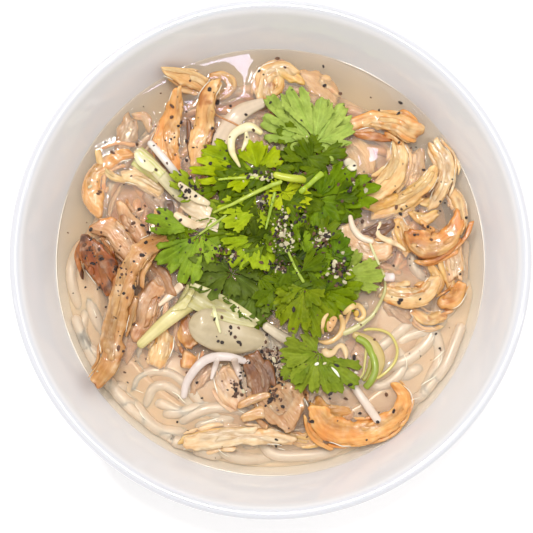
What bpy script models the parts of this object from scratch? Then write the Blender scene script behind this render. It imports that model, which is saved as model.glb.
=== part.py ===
"""Chicken noodle soup (pho) in its white glazed bowl, as closed solids in Blender 4.5.

Sizes in the tables are millimetres and degrees; the scene is in metres with +Z up. The origin is the
middle of the underside of the foot ring. +X is to the right and -Y is towards the person eating.

The bowl is turned. The noodles are one heap whose uppermost strands rise out of it, the broth is one
solid up to its level, cut round all that stands in it, and each shred of chicken, stalk, piece of onion
and sprig of coriander is a solid of its own, laid over what lies beneath it with a small gap.
"""

import math

import bpy
import numpy as np
from mathutils import Vector
from mathutils.geometry import delaunay_2d_cdt

MM = 0.001

# --- Bowl ---
SEGMENTS = 40
FOOT_OUTER = 43.5
FOOT_INNER = 38.5
FOOT_RECESS = 5.0
# Inner surface, from the middle of the floor to the lip: radius, height.
INNER_PROFILE = (
    (0.0, 9.6), (28.0, 10.8), (50.0, 16.4), (66.0, 26.0), (78.0, 38.5), (87.0, 52.0),
    (94.2, 66.0), (99.6, 75.4),
)
LIP_PROFILE = ((101.8, 77.8), (103.8, 77.8), (105.0, 76.0))
# Outer surface, from the lip to the foot: radius, height.
OUTER_PROFILE = ((103.6, 71.8), (98.6, 61.6), (90.4, 45.8), (77.6, 28.6), (60.0, 14.8))

# --- Broth and noodles ---
LEVEL = 56.5
GAP = 0.4
HEAP_RADIUS = 77.0
HEAP_DEPTH = 6.6
SUPPORT_DEPTH = 3.6
STANDS_OUT = 1.2
STRAND = 2.2
# How far the rounded end of a piece stands out past its last ring.
BULGE = 0.9
# The room left between a piece and the broth round it.
ROOM = 0.7

# --- The grid on which the pieces are laid over each other ---
CELL = 0.75
HALF = 100.0
COUNT = int(2 * HALF / CELL) + 1
# A piece that still touches what is beneath rises by this share of what is missing, over this many passes.
SHARE = 0.5
PASSES = 14

# Noodle strands that lie at the top of the heap: waypoints x, y.
STRANDS = {
    "left_outer": ((-69, 18), (-79, 4), (-77.5, -14), (-72, -29), (-60, -37)),
    "left_inner": ((-61, -2), (-68, -15), (-75, -29), (-66, -41)),
    "front_left": ((-66, -50), (-50, -62), (-30, -65), (-12, -62)),
    "front": ((-28, -63), (-14, -75), (4, -78.5), (22, -75), (36, -63)),
    "right_front": ((68, -22), (65, -36), (53, -49), (40, -55)),
    "right_outer": ((69, 4), (78, -3), (77, -17), (66, -28)),
}

# Shreds of chicken: thickness, waypoints x, y and the width at each waypoint.
CHICKEN = {
    "chicken_01": (4.6, ((-44.5, 77.5), (-37.5, 76.5), (-30.7, 75), (-25.2, 71.6)), (3.5, 7, 7, 5)),
    "chicken_02": (5.0, ((-38.5, 70), (-40, 63), (-43, 55), (-44, 47), (-41, 38)), (3.5, 7, 10.5, 12.5, 8)),
    "chicken_03": (5.6, ((-22, 75), (-26.5, 67), (-28, 57), (-30, 48), (-31, 38)),
                   (5, 7.5, 9, 9.5, 7)),
    "chicken_04": (5.2, ((11, 78), (5, 80.5), (-1.5, 77), (-3, 68)), (4, 7, 10, 7)),
    "chicken_05": (4.4, ((-57, 45), (-65, 43), (-73, 36.5), (-75, 28), (-70, 22)), (5, 6, 6.5, 8.5, 11)),
    "chicken_06": (4.2, ((-63, 35), (-54.6, 34), (-45, 28)), (4, 6.5, 5)),
    "chicken_07": (5.0, ((-73.5, 15), (-66, 12.6), (-61, 6), (-57, 0)), (7, 9, 9, 6)),
    "chicken_08": (4.6, ((-62, 24), (-60, 17.6), (-56, 12), (-53, 5)), (4, 7, 9, 6)),
    "chicken_09": (5.2, ((-73, 8), (-72, 2), (-69, -6), (-66, -15)), (7, 13, 11, 4.5)),
    "chicken_10": (6.0, ((-44, 10), (-52, 3), (-58.5, -6), (-61.5, -18), (-65, -31), (-66, -42), (-71.5, -52)),
                   (6, 8.5, 9, 10, 10.5, 9, 6.5)),
    "chicken_11": (5.0, ((-46, -10), (-50, -18), (-52.5, -26.5), (-56, -34)), (8, 11, 10, 5)),
    "chicken_12": (4.6, ((-43, -29), (-45, -37), (-47.5, -45)), (7, 9, 6.5)),
    "chicken_13": (4.4, ((-35.5, -24), (-34, -31), (-32, -37)), (5, 8.5, 6)),
    "chicken_14": (4.2, ((-33, -38), (-34, -45)), (8, 6)),
    "chicken_15": (5.6, ((-20, -45), (-17, -53), (-12, -60)), (8, 11, 7)),
    "chicken_16": (4.8, ((-36, -76), (-27, -75), (-15, -73.5), (-2, -73), (10, -75)), (6, 8, 7.5, 7, 4)),
    "chicken_17": (5.4, ((-2, -53), (4, -59), (11, -67)), (14, 19, 14)),
    "chicken_18": (5.6, ((18, -60), (23, -68.5), (33.6, -72), (44, -70), (52, -64), (55.5, -57), (51, -51)),
                   (7, 11, 11, 9, 8, 6, 3.5)),
    "chicken_19": (4.8, ((46, -13), (54.6, -16), (63, -15), (69, -7)), (6, 9, 8, 4)),
    "chicken_20": (4.4, ((69.5, -19), (76.5, -16), (79.5, -10)), (5.5, 7, 4.5)),
    "chicken_21": (4.0, ((59, -21), (65, -25), (72, -23)), (4, 5, 4.5)),
    "chicken_22": (5.4, ((59, 12), (64, 6), (71, 7), (76, 12), (79, 18)), (8, 12, 9.5, 8, 6)),
    "chicken_23": (4.2, ((53, 17), (56, 10), (59, 3)), (5, 7, 5.5)),
    "chicken_24": (5.2, ((31.5, 56), (42, 59), (52, 57), (58, 53.5), (62.5, 52)), (6, 7.5, 8.5, 10, 7)),
    "chicken_25": (4.8, ((53, 50), (54, 42), (50, 33.6), (40, 25)), (5, 8.5, 10, 8)),
    "chicken_26": (4.4, ((68.5, 38), (64.7, 31), (54.6, 24), (42, 20)), (4, 6.5, 8, 7)),
    "chicken_27": (4.2, ((69, 49), (73, 41), (72.5, 32), (67, 21)), (4.5, 7, 6, 5)),
    "chicken_28": (4.0, ((75, 30), (79, 24), (80, 13)), (4.5, 5.5, 5)),
    "chicken_29": (4.2, ((75.6, 5), (76.4, -1), (77, -8)), (6.5, 8.5, 7)),
    "chicken_30": (5.0, ((30, 15), (34, 8), (43, 3.4), (50, 5)), (7, 11, 9, 4.5)),
}

# Stalks, sprouts and cut onion: thickness, waypoints and widths, as for the chicken.
STALKS = {
    "sprout_01": (3.3, ((-51, 49.6), (-44.5, 42), (-37.4, 33)), (3.0, 3.4, 3.3)),
    "stalk_01": (3.6, ((-56, 46), (-49, 38.5), (-38, 27), (-28, 20)), (3.4, 5.5, 5, 4.2)),
    "onion_01": (3.6, ((-2, 66), (-12.6, 62), (-19, 53.5), (-23, 44)), (4, 7, 7.5, 5)),
    "stem_01": (2.8, ((5, 50), (6.5, 42), (8, 33)), (2.8, 3.2, 3.0)),
    "stem_02": (2.8, ((1, 35), (8, 33.4), (16, 33)), (2.8, 3.2, 3.4)),
    "stalk_02": (3.8, ((-54.6, -36.5), (-43, -26), (-31.5, -17)), (3.6, 5.4, 4.6)),
    "sprout_02": (3.2, ((-36, -58), (-34, -50), (-27, -42), (-18, -40.5), (-8, -43)), (2.6, 3.6, 3.8, 3.6, 2.6)),
    "sprout_03": (3.6, ((-3, -27), (3.5, -31.5), (10, -35)), (3.6, 4.2, 3.8)),
    "sprout_04": (3.2, ((34, -52), (39.5, -60), (44.5, -67.5)), (3.0, 3.5, 3.2)),
    "scallion_01": (1.6, ((34, -31), (42, -35), (45, -43), (40, -53)), (3.0, 4.4, 4.6, 3.0)),
}

# The thick wedge of onion: middle, heading of its long side, length, width and height.
ONION_WEDGE = (-17.0, -30.5, -14.0, 34.0, 18.0, 8.0)

# Coriander leaves: the hub that the lobes spread from, how deep the notches between lobes go, how far the
# tips curl up, and each lobe as tip x, tip y and half its width.
LEAVES = {
    "leaf_01": ((19, 49), 0.62, 1.0, ((35, 54, 6), (30, 66, 7), (20, 68, 5), (10, 73, 5), (-2, 67, 6),
                                      (-4, 57, 6), (8, 47, 5), (30, 44, 5))),
    "leaf_02": ((-5, 37), 0.40, 2.4, ((5, 33, 3), (2, 47, 6), (-8, 50, 6), (-29, 44, 6), (-33, 35, 5),
                                      (-18, 30, 4))),
    "leaf_03": ((20, 25), 0.66, 2.2, ((45, 31, 6), (35, 38, 6), (24, 36, 5), (17, 13, 5), (28, 14, 6), (38, 21, 7))),
    "leaf_04": ((5, 28), 0.60, 1.8, ((17, 24, 4), (13, 31, 3), (0, 32, 4), (0, 21, 4), (7, 18, 4), (13, 20, 4))),
    "leaf_05": ((-29, 11), 0.50, 2.2, ((-19, 15, 4), (-51, 18, 5), (-46, -3, 5), (-38, -10, 6), (-25, -2, 5),
                                       (-21, 5, 5))),
    "leaf_06": ((-30, 26), 0.45, 1.6, ((-33, 34, 3), (-41, 35, 4), (-38, 26, 3), (-17, 18, 4))),
    "leaf_07": ((-5, 21), 0.62, 1.8, ((2, 29, 3), (-12, 27, 4), (-22, 21, 5), (-19, 13, 5), (-8, 12, 5), (1, 15, 4))),
    "leaf_08": ((-5, 9), 0.45, 2.2, ((2, 15, 4), (-20, 6, 3), (-18, -2, 5), (-9, -2, 4), (-1, -5, 5), (1, 3, 3))),
    "leaf_09": ((-16, -6), 0.74, 1.8, ((-2, -2, 5), (-12, 4, 6), (-27, 3, 6), (-36, -5, 7), (-30, -13, 6),
                                       (-17, -17, 7), (-4, -14, 6))),
    "leaf_10": ((-6, -15), 0.60, 1.4, ((2, -21, 5), (-19, -18, 5), (-13, -24, 5), (-4, -27, 5))),
    "leaf_11": ((14, -12), 0.72, 2.2, ((2, -14, 5), (2, -24, 6), (9, -31, 6), (18, -33, 5), (24, -30, 5),
                                       (21, -19, 5))),
    "leaf_12": ((18, -12), 0.74, 2.0, ((22, -19, 4), (28, -23, 6), (35, -20, 6), (38, -13, 5))),
    "leaf_13": ((25, -7), 0.66, 1.8, ((37, -15, 5), (47, -8, 6), (38, 2, 6), (29, 3, 4))),
    "leaf_14": ((20, -39), 0.74, 2.0, ((13, -31, 5), (4, -40, 6), (4, -48, 6), (12, -55, 6), (23, -56, 6),
                                       (35, -53, 7), (27, -42, 4))),
    "leaf_15": ((15, 0), 0.50, 2.0, ((26, 1, 4), (19, 12, 4), (13, 18, 4), (7, 11, 4), (4, -4, 5), (24, -7, 4))),
    "leaf_16": ((26, 1), 0.55, 1.6, ((34, 4, 4), (30, 11, 4), (22, 10, 4), (31, -6, 4))),
}
LEAF_THICK = 0.7

# The order in which the pieces are laid, from the lowest to the highest.
LAYING_ORDER = (
    "chicken_28", "chicken_29", "chicken_27", "chicken_23", "chicken_22", "chicken_20", "chicken_21",
    "chicken_19", "chicken_26", "chicken_25", "chicken_24", "chicken_30", "chicken_04", "chicken_01",
    "chicken_02", "chicken_03", "chicken_06", "chicken_05", "chicken_08", "chicken_07", "chicken_09",
    "chicken_12", "chicken_11", "chicken_10", "chicken_14", "chicken_13", "chicken_16", "chicken_17",
    "chicken_15", "chicken_18", "onion_01", "sprout_01", "stalk_01", "stalk_02", "onion_wedge",
    "sprout_02", "sprout_03", "scallion_01", "sprout_04", "stem_01", "leaf_01", "leaf_10", "leaf_09",
    "leaf_14", "leaf_13", "leaf_16", "leaf_12", "leaf_11", "leaf_15", "leaf_06", "leaf_05", "leaf_08",
    "leaf_07", "leaf_03", "leaf_02", "leaf_04", "stem_02",
)

COLOURS = {
    "glazed_white": (0.86, 0.85, 0.85, 1.0, 0.12),
    "broth": (0.66, 0.54, 0.38, 1.0, 0.08),
    "noodle": (0.83, 0.79, 0.72, 1.0, 0.35),
    "chicken_meat": (0.68, 0.42, 0.20, 1.0, 0.45),
    "chicken_browned": (0.46, 0.17, 0.06, 1.0, 0.4),
    "coriander": (0.13, 0.30, 0.03, 1.0, 0.45),
    "onion": (0.80, 0.76, 0.58, 1.0, 0.3),
    "green_stalk": (0.48, 0.56, 0.18, 1.0, 0.35),
}


def clear_scene():
    for item in list(bpy.data.objects):
        bpy.data.objects.remove(item)


def collection(name, hidden=False):
    made = bpy.data.collections.new(name)
    bpy.context.scene.collection.children.link(made)
    made.hide_render = hidden
    return made


def material(name):
    if name in bpy.data.materials:
        return bpy.data.materials[name]
    made = bpy.data.materials.new(name)
    made.use_nodes = True
    shader = made.node_tree.nodes["Principled BSDF"]
    red, green, blue, alpha, rough = COLOURS[name]
    shader.inputs["Base Color"].default_value = (red, green, blue, alpha)
    shader.inputs["Roughness"].default_value = rough
    shader.inputs["Metallic"].default_value = 0.0
    made.diffuse_color = (red, green, blue, alpha)
    return made


def add_object(name, verts, faces, group, look):
    mesh = bpy.data.meshes.new(name)
    mesh.from_pydata([tuple(float(c) * MM for c in v) for v in verts], [], [tuple(f) for f in faces])
    mesh.update()
    made = bpy.data.objects.new(name, mesh)
    made.data.materials.append(material(look))
    group.objects.link(made)
    return made


# ---------------------------------------------------------------- bowl


def inner_height(radius):
    """Height of the bowl's inner surface at this distance from the axis."""
    return np.interp(radius, [p[0] for p in INNER_PROFILE], [p[1] for p in INNER_PROFILE])


def inner_radius(height):
    """Radius of the bowl's inner surface at this height."""
    return float(np.interp(height, [p[1] for p in INNER_PROFILE], [p[0] for p in INNER_PROFILE]))


def build_bowl(group):
    """One closed profile turned round Z: inside, lip, outside, foot ring and the recess inside it."""
    foot = (
        (FOOT_OUTER + 0.6, 7.8), (FOOT_OUTER, 1.2), (FOOT_OUTER - 1.0, 0.0), (FOOT_INNER + 0.6, 0.0),
        (FOOT_INNER - 0.8, FOOT_RECESS), (0.0, FOOT_RECESS),
    )
    profile = INNER_PROFILE + LIP_PROFILE + OUTER_PROFILE + foot
    verts = [(r, 0.0, z) for r, z in profile]
    mesh = bpy.data.meshes.new("bowl")
    mesh.from_pydata([tuple(c * MM for c in v) for v in verts], [(i, i + 1) for i in range(len(verts) - 1)], [])
    bowl = bpy.data.objects.new("bowl", mesh)
    bowl.data.materials.append(material("glazed_white"))
    group.objects.link(bowl)
    turn = bowl.modifiers.new("turn", "SCREW")
    turn.axis = "Z"
    turn.angle = 2 * math.pi
    turn.steps = SEGMENTS
    turn.render_steps = SEGMENTS
    turn.use_merge_vertices = True
    turn.merge_threshold = 0.0001
    turn.use_normal_flip = False
    return bowl


# ---------------------------------------------------------------- centrelines and swept pieces


def smooth_line(points, widths, spacing):
    """A Catmull-Rom line through the waypoints: stations x, y, width at about this spacing."""
    rows = [np.array((*p, w), float) for p, w in zip(points, widths)]
    rows = [2 * rows[0] - rows[1], *rows, 2 * rows[-1] - rows[-2]]
    fine = []
    for a, b, c, d in zip(rows, rows[1:], rows[2:], rows[3:]):
        for t in np.linspace(0, 1, 12, endpoint=False):
            fine.append(
                0.5 * (2 * b + (c - a) * t + (2 * a - 5 * b + 4 * c - d) * t**2 + (3 * b - a - 3 * c + d) * t**3)
            )
    fine.append(rows[-2])
    fine = np.array(fine)
    run = np.concatenate([[0], np.cumsum(np.hypot(*np.diff(fine[:, :2], axis=0).T))])
    count = max(4, int(round(run[-1] / spacing)) + 1)
    at = np.linspace(0, run[-1], count)
    return np.stack([np.interp(at, run, fine[:, k]) for k in range(3)], axis=1)


def headings(line):
    step = np.gradient(line[:, :2], axis=0)
    return step / np.hypot(step[:, 0], step[:, 1])[:, None]


def swept(stations, along, base, ring_of, out=0.0):
    """A closed body: one ring of corners at each station, joined by quads, with a fan over each end.

    ring_of(i) gives the corners of ring i as (across, up) from the middle of its underside, and out moves
    every corner and both ends outwards.
    """
    verts = []
    last = len(stations) - 1
    for i, (x, y, _) in enumerate(stations):
        tx, ty = along[i]
        push = -out if i == 0 else out if i == last else 0.0
        ring = np.array(ring_of(i), float)
        middle = ring.mean(axis=0)
        away = ring - middle
        reach = np.hypot(away[:, 0], away[:, 1])[:, None]
        ring = ring + away / reach * out * 1.25
        for u, v in ring:
            verts.append((x + tx * push - ty * u, y + ty * push + tx * u, base[i] + v))
    n = len(ring)
    faces = []
    for i in range(last):
        for k in range(n):
            a, b = i * n + k, i * n + (k + 1) % n
            faces.append((a, b, b + n))
            faces.append((a, b + n, a + n))
    for i, turned in ((0, True), (last, False)):
        rows = np.array(verts[i * n:(i + 1) * n])
        tx, ty = along[i]
        bulge = (BULGE + out) * (-1 if i == 0 else 1)
        verts.append(tuple(rows.mean(axis=0) + np.array((tx, ty, 0)) * bulge))
        tip = len(verts) - 1
        for k in range(n):
            a, b = i * n + k, i * n + (k + 1) % n
            faces.append((b, a, tip) if turned else (a, b, tip))
    return verts, faces


def trench(line, along, base):
    """What a piece takes out of the broth: a square-sided channel a little wider, deeper and longer."""
    verts = []
    last = len(line) - 1
    step = float(np.hypot(*(line[1, :2] - line[0, :2])))
    for i, (x, y, width) in enumerate(line):
        tx, ty = along[i]
        low = base[i]
        half = width / 2
        push = 0.0
        if i in (0, last):
            push = ROOM + BULGE
            inner = 1 if i == 0 else last - 1
            low -= (base[inner] - base[i]) * push / step
            half = max(half, half - (line[inner, 2] / 2 - half) * push / step)
            push *= -1 if i == 0 else 1
        low -= ROOM
        half += ROOM
        high = max(LEVEL, low) + 8.0
        for u, z in ((-half, low), (half, low), (half, high), (-half, high)):
            verts.append((x + tx * push - ty * u, y + ty * push + tx * u, z))
    faces = [(3, 2, 1, 0), tuple(4 * last + k for k in range(4))]
    for i in range(last):
        for k in range(4):
            a, b = 4 * i + k, 4 * i + (k + 1) % 4
            faces.append((a, b, b + 4))
            faces.append((a, b + 4, a + 4))
    return verts, faces


def shred_ring(width, thick, seed, i):
    """Five corners of a torn shred of meat: flat below, with an uneven ridge on top."""
    wave = 0.16 * math.sin(seed * 2.3 + i * 1.9)
    half = width / 2
    return (
        (-half * 0.66, 0.0), (half * 0.66, 0.0), (half, thick * (0.46 + wave)),
        (half * wave * 2, thick), (-half, thick * (0.44 - wave)),
    )


def round_ring(width, thick, corners=6):
    """Corners of a round or flattened stalk."""
    turn = 2 * math.pi / corners
    return [
        (width / 2 * math.cos(turn * (k + 0.5) - math.pi / 2), thick / 2 * (1 + math.sin(turn * (k + 0.5) - math.pi / 2)))
        for k in range(corners)
    ]


# ---------------------------------------------------------------- laying pieces over each other


def grid_index(x):
    return (np.asarray(x) + HALF) / CELL


def spread(field, cells):
    """The largest value within this many cells of each cell."""
    wide = np.pad(field, cells, mode="edge")
    size = field.shape[0]
    shifts = range(2 * cells + 1)
    tall = np.max([wide[k:k + size, :] for k in shifts], axis=0)
    return np.max([tall[:, k:k + size] for k in shifts], axis=0)


def average(field, cells):
    wide = np.pad(field, cells, mode="edge")
    size = field.shape[0]
    shifts = range(2 * cells + 1)
    tall = np.mean([wide[k:k + size, :] for k in shifts], axis=0)
    return np.mean([tall[:, k:k + size] for k in shifts], axis=0)


def height_at(field, x, y):
    i = np.clip(np.round(grid_index(x)).astype(int), 0, COUNT - 1)
    j = np.clip(np.round(grid_index(y)).astype(int), 0, COUNT - 1)
    return field[i, j]


def over_grid(verts, faces):
    """Lowest and highest height of a body over each cell: two arrays, infinite where it has nothing."""
    low = np.full((COUNT, COUNT), np.inf)
    high = np.full((COUNT, COUNT), -np.inf)
    pts = np.array(verts, float)
    for face in faces:
        a, b, c = pts[list(face)]
        i0, i1 = np.floor(grid_index(min(a[0], b[0], c[0]))), np.ceil(grid_index(max(a[0], b[0], c[0])))
        j0, j1 = np.floor(grid_index(min(a[1], b[1], c[1]))), np.ceil(grid_index(max(a[1], b[1], c[1])))
        i0, i1, j0, j1 = (int(np.clip(v, 0, COUNT - 1)) for v in (i0, i1, j0, j1))
        area = (b[0] - a[0]) * (c[1] - a[1]) - (c[0] - a[0]) * (b[1] - a[1])
        if abs(area) < 1e-9:
            continue
        x = (np.arange(i0, i1 + 1) * CELL - HALF)[:, None]
        y = (np.arange(j0, j1 + 1) * CELL - HALF)[None, :]
        s = ((x - a[0]) * (c[1] - a[1]) - (c[0] - a[0]) * (y - a[1])) / area
        t = ((b[0] - a[0]) * (y - a[1]) - (x - a[0]) * (b[1] - a[1])) / area
        inside = (s >= -0.02) & (t >= -0.02) & (s + t <= 1.02)
        z = a[2] + s * (b[2] - a[2]) + t * (c[2] - a[2])
        part = low[i0:i1 + 1, j0:j1 + 1]
        part[inside] = np.minimum(part, z)[inside]
        part = high[i0:i1 + 1, j0:j1 + 1]
        part[inside] = np.maximum(part, z)[inside]
    return low, high


def clearance(ground, verts, faces):
    """How far a body has to rise to clear the ground by the gap, cell by cell."""
    low, _ = over_grid(verts, faces)
    short = spread(ground, 1) + GAP - low
    short[~np.isfinite(low)] = -np.inf
    return short


def stamp(ground, verts, faces):
    _, high = over_grid(verts, faces)
    return np.maximum(ground, high)


def lay_strip(ground, line, along, thick, make):
    """Base heights along a strip that bends over what lies beneath it, then the body that make builds.

    Its top stands out of the broth, however thin it is.
    """
    across = np.linspace(-0.5, 0.5, 7)
    need = np.full(len(line), LEVEL + STANDS_OUT - thick)
    step = float(np.hypot(*(line[1, :2] - line[0, :2])))
    for run in (-0.35 * step, 0.0, 0.35 * step):
        x = line[:, None, 0] + along[:, None, 0] * run - along[:, None, 1] * across * line[:, None, 2]
        y = line[:, None, 1] + along[:, None, 1] * run + along[:, None, 0] * across * line[:, None, 2]
        need = np.maximum(need, height_at(spread(ground, 1), x, y).max(axis=1) + GAP)
    base = need.copy()
    base[1:-1] = np.maximum(need[1:-1], 0.5 * need[1:-1] + 0.25 * (need[:-2] + need[2:]))
    for _ in range(PASSES):
        verts, faces = make(base)
        short = clearance(ground, verts, faces)
        if short.max() <= 0:
            break
        lift = np.zeros(len(base))
        for i, j in np.argwhere(short > 0):
            px, py = i * CELL - HALF, j * CELL - HALF
            near = np.argsort(np.hypot(line[:, 0] - px, line[:, 1] - py))[:2]
            lift[near] = np.maximum(lift[near], short[i, j])
        base = base + SHARE * lift
    base = base + max(0.0, clearance(ground, make(base)[0], faces).max())
    verts, faces = make(base)
    return base, verts, faces


# ---------------------------------------------------------------- noodles and broth


def heap_radius(angle):
    """The heap's uneven outline."""
    return HEAP_RADIUS + 2.6 * math.sin(2 * angle + 0.7) + 1.8 * math.sin(5 * angle + 2.0)


def heap_top(x, y):
    """Height of the top of the heap before its outermost strands."""
    return (
        LEVEL - HEAP_DEPTH + 0.7 * math.sin(x / 9.0 + 1.0) * math.cos(y / 11.0) + 0.4 * math.sin((x + y) / 6.0)
    )


def heap_body(out, deeper=0.0):
    """The heap moved outwards by this much: corners and faces, with its underside on the bowl, or deeper."""
    shares = (0.3, 0.6, 0.85, 1.0)
    floor_shares = (1.0, 0.78, 0.45)
    verts = [(0.0, 0.0, heap_top(0, 0) + out)]
    rings = []
    angles = [2 * math.pi * k / SEGMENTS for k in range(SEGMENTS)]
    for share in shares:
        rings.append([])
        for angle in angles:
            r = heap_radius(angle) * share + (out if share == 1.0 else 0.0)
            x, y = r * math.cos(angle), r * math.sin(angle)
            drop = 3.0 * max(0.0, (share - 0.78) / 0.22) ** 2
            rings[-1].append(len(verts))
            verts.append((x, y, heap_top(x, y) + out - drop))
    for share in floor_shares:
        rings.append([])
        for angle in angles:
            r = heap_radius(angle) * share + (out if share == 1.0 else 0.0)
            rings[-1].append(len(verts))
            verts.append((r * math.cos(angle), r * math.sin(angle), float(inner_height(r)) + 2.5 * GAP - deeper))
    verts.append((0.0, 0.0, float(inner_height(0.0)) + GAP - deeper))
    end = len(verts) - 1
    faces = []
    for k in range(SEGMENTS):
        n = (k + 1) % SEGMENTS
        faces.append((0, rings[0][k], rings[0][n]))
        for above, below in zip(rings, rings[1:]):
            faces.append((above[k], below[k], below[n]))
            faces.append((above[k], below[n], above[n]))
        faces.append((rings[-1][k], end, rings[-1][n]))
    return verts, faces


def strand_body(points, out):
    """A noodle that comes out of the heap, runs just under the broth's surface and dips back in."""
    line = smooth_line(points, [2 * STRAND] * len(points), 8.5)
    along = headings(line)
    rise = np.sin(np.linspace(0.0, math.pi, len(line))) ** 0.5
    base = LEVEL - HEAP_DEPTH - 2.6 + rise * (HEAP_DEPTH + 2.6 - 2 * STRAND - 0.9)
    return swept(line, along, base, lambda i: round_ring(2 * STRAND, 2 * STRAND, 5), out)


def build_noodles(group, helpers):
    verts, faces = heap_body(0.0)
    noodles = add_object("noodles", verts, faces, group, "noodle")
    for name, points in STRANDS.items():
        verts, faces = strand_body(points, 0.0)
        strand = add_object("strand_" + name, verts, faces, helpers, "noodle")
        strand.hide_render = True
        join = noodles.modifiers.new("join_" + name, "BOOLEAN")
        join.operation = "UNION"
        join.solver = "EXACT"
        join.object = strand
    return noodles


def ground_under_pieces():
    """The bowl's inside, the heap's strands and the depth to which pieces sink, as one height field."""
    steps = np.arange(COUNT) * CELL - HALF
    x, y = np.meshgrid(steps, steps, indexing="ij")
    ground = np.maximum(inner_height(np.hypot(x, y)), LEVEL - SUPPORT_DEPTH)
    for points in STRANDS.values():
        ground = stamp(ground, *strand_body(points, 0.0))
    return ground


def build_broth(group, helpers, cutters):
    """The broth up to its level, with the heap, its strands and every standing piece cut out of it."""
    verts = []
    rings = []
    for share in (0.0, 0.5, 1.0):
        rings.append([])
        for k in range(SEGMENTS):
            angle = 2 * math.pi * k / SEGMENTS
            toe = float(inner_height(heap_radius(angle) - 3.0))
            height = LEVEL + (toe - LEVEL) * share
            r = inner_radius(height) - GAP
            rings[-1].append(len(verts))
            verts.append((r * math.cos(angle), r * math.sin(angle), height))
    rings.append([])
    for k in range(SEGMENTS):
        angle = 2 * math.pi * k / SEGMENTS
        r = (heap_radius(angle) - 3.0) * 0.8
        rings[-1].append(len(verts))
        verts.append((r * math.cos(angle), r * math.sin(angle), LEVEL - HEAP_DEPTH - 6.0))
    verts.append((0.0, 0.0, LEVEL - HEAP_DEPTH - 6.0))
    end = len(verts) - 1
    faces = [tuple(rings[0])]
    for k in range(SEGMENTS):
        n = (k + 1) % SEGMENTS
        for above, below in zip(rings, rings[1:]):
            faces.append((above[k], below[k], below[n]))
            faces.append((above[k], below[n], above[n]))
        faces.append((rings[-1][k], end, rings[-1][n]))
    broth = add_object("broth", verts, faces, group, "broth")
    bodies = {"heap": heap_body(GAP, 4.0)}
    for name, points in STRANDS.items():
        bodies["strand_" + name] = strand_body(points, GAP)
    bodies.update(cutters)
    for name, (verts, faces) in bodies.items():
        cutter = add_object("cut_" + name, verts, faces, helpers, "broth")
        cutter.hide_render = True
        cut = broth.modifiers.new("cut_" + name, "BOOLEAN")
        cut.operation = "DIFFERENCE"
        cut.solver = "EXACT"
        cut.use_self = True
        cut.object = cutter
    return broth


# ---------------------------------------------------------------- the pieces


def lay_shred(name, ground):
    """A shred of chicken: its body, and the cutter that makes room for it in the broth."""
    thick, points, widths = CHICKEN[name]
    seed = int(name[-2:])
    line = smooth_line(points, widths, 9.0)
    along = headings(line)

    def make(base):
        return swept(line, along, base, lambda i: shred_ring(line[i, 2], thick, seed, i))

    base, verts, faces = lay_strip(ground, line, along, thick, make)
    return verts, faces, trench(line, along, base), base


def lay_stalk(name, ground):
    """A stalk, sprout, slice of onion or ribbon of scallion: round, or flat where it is wider than thick."""
    thick, points, widths = STALKS[name]
    line = smooth_line(points, widths, 7.0)
    along = headings(line)

    def make(base):
        return swept(line, along, base, lambda i: round_ring(line[i, 2], thick))

    base, verts, faces = lay_strip(ground, line, along, thick, make)
    return verts, faces, trench(line, along, base), base


def lay_wedge(ground):
    """The thick wedge of onion: a long bulging piece, blunt at one end and narrow at the other."""
    x, y, heading, length, width, height = ONION_WEDGE
    turn = math.radians(heading)
    ends = np.array((math.cos(turn), math.sin(turn))) * length / 2
    points = [(x - ends[0], y - ends[1]), (x, y), (x + ends[0], y + ends[1])]
    line = smooth_line(points, (width * 0.62, width, width * 0.30), 6.0)
    along = headings(line)
    bulge = np.sin(np.linspace(0.35, math.pi - 0.35, len(line)))

    def make(base):
        return swept(line, along, base, lambda i: round_ring(line[i, 2], height * bulge[i], 8))

    base, verts, faces = lay_strip(ground, line, along, height * 0.6, make)
    return verts, faces, trench(line, along, base), base


def leaf_outline(hub, notch, lobes):
    """The outline of a lobed leaf round its hub, anticlockwise, and a point on the rib of each lobe."""
    arms = []
    for x, y, half in lobes:
        dx, dy = x - hub[0], y - hub[1]
        arms.append((math.atan2(dy, dx), math.hypot(dx, dy), half))
    arms.sort()
    count = len(arms)
    rows = []
    ribs = []
    for i, (angle, length, half) in enumerate(arms):
        ahead = (arms[(i + 1) % count][0] - angle) % (2 * math.pi)
        behind = (angle - arms[i - 1][0]) % (2 * math.pi)
        for share, width, side in ((0.80, 0.94, -1), (1.0, 0, 0), (0.80, 0.94, 1)):
            room = 0.43 * (ahead if side > 0 else behind)
            swing = min(math.atan2(width * half, share * length), room)
            rows.append((share * length, angle + side * swing))
        ribs.append((0.55 * length, angle))
        nearest = min(length, arms[(i + 1) % count][1])
        if ahead < 1.9:
            rows.append((notch * nearest, angle + ahead / 2))
        else:
            rows.append((2.6, angle + ahead * 0.3))
            rows.append((2.6, angle + ahead * 0.7))
    edge = [(hub[0] + r * math.cos(t), hub[1] + r * math.sin(t)) for r, t in rows]
    inner = [(hub[0] + r * math.cos(t), hub[1] + r * math.sin(t)) for r, t in ribs]
    return edge, inner


def triangles_inside(x, y, ring):
    """Triangles, anticlockwise from above, that fill a closed outline and use the points inside it."""
    flat = [Vector((float(a), float(b))) for a, b in zip(x, y)]
    made = delaunay_2d_cdt(flat, ring, [], 1, 1e-6)
    tops = []
    for face in made[2]:
        a, b, c = (made[3][k][0] for k in face)
        area = (x[b] - x[a]) * (y[c] - y[a]) - (x[c] - x[a]) * (y[b] - y[a])
        tops.append((a, b, c) if area > 0 else (a, c, b))
    return tops


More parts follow.
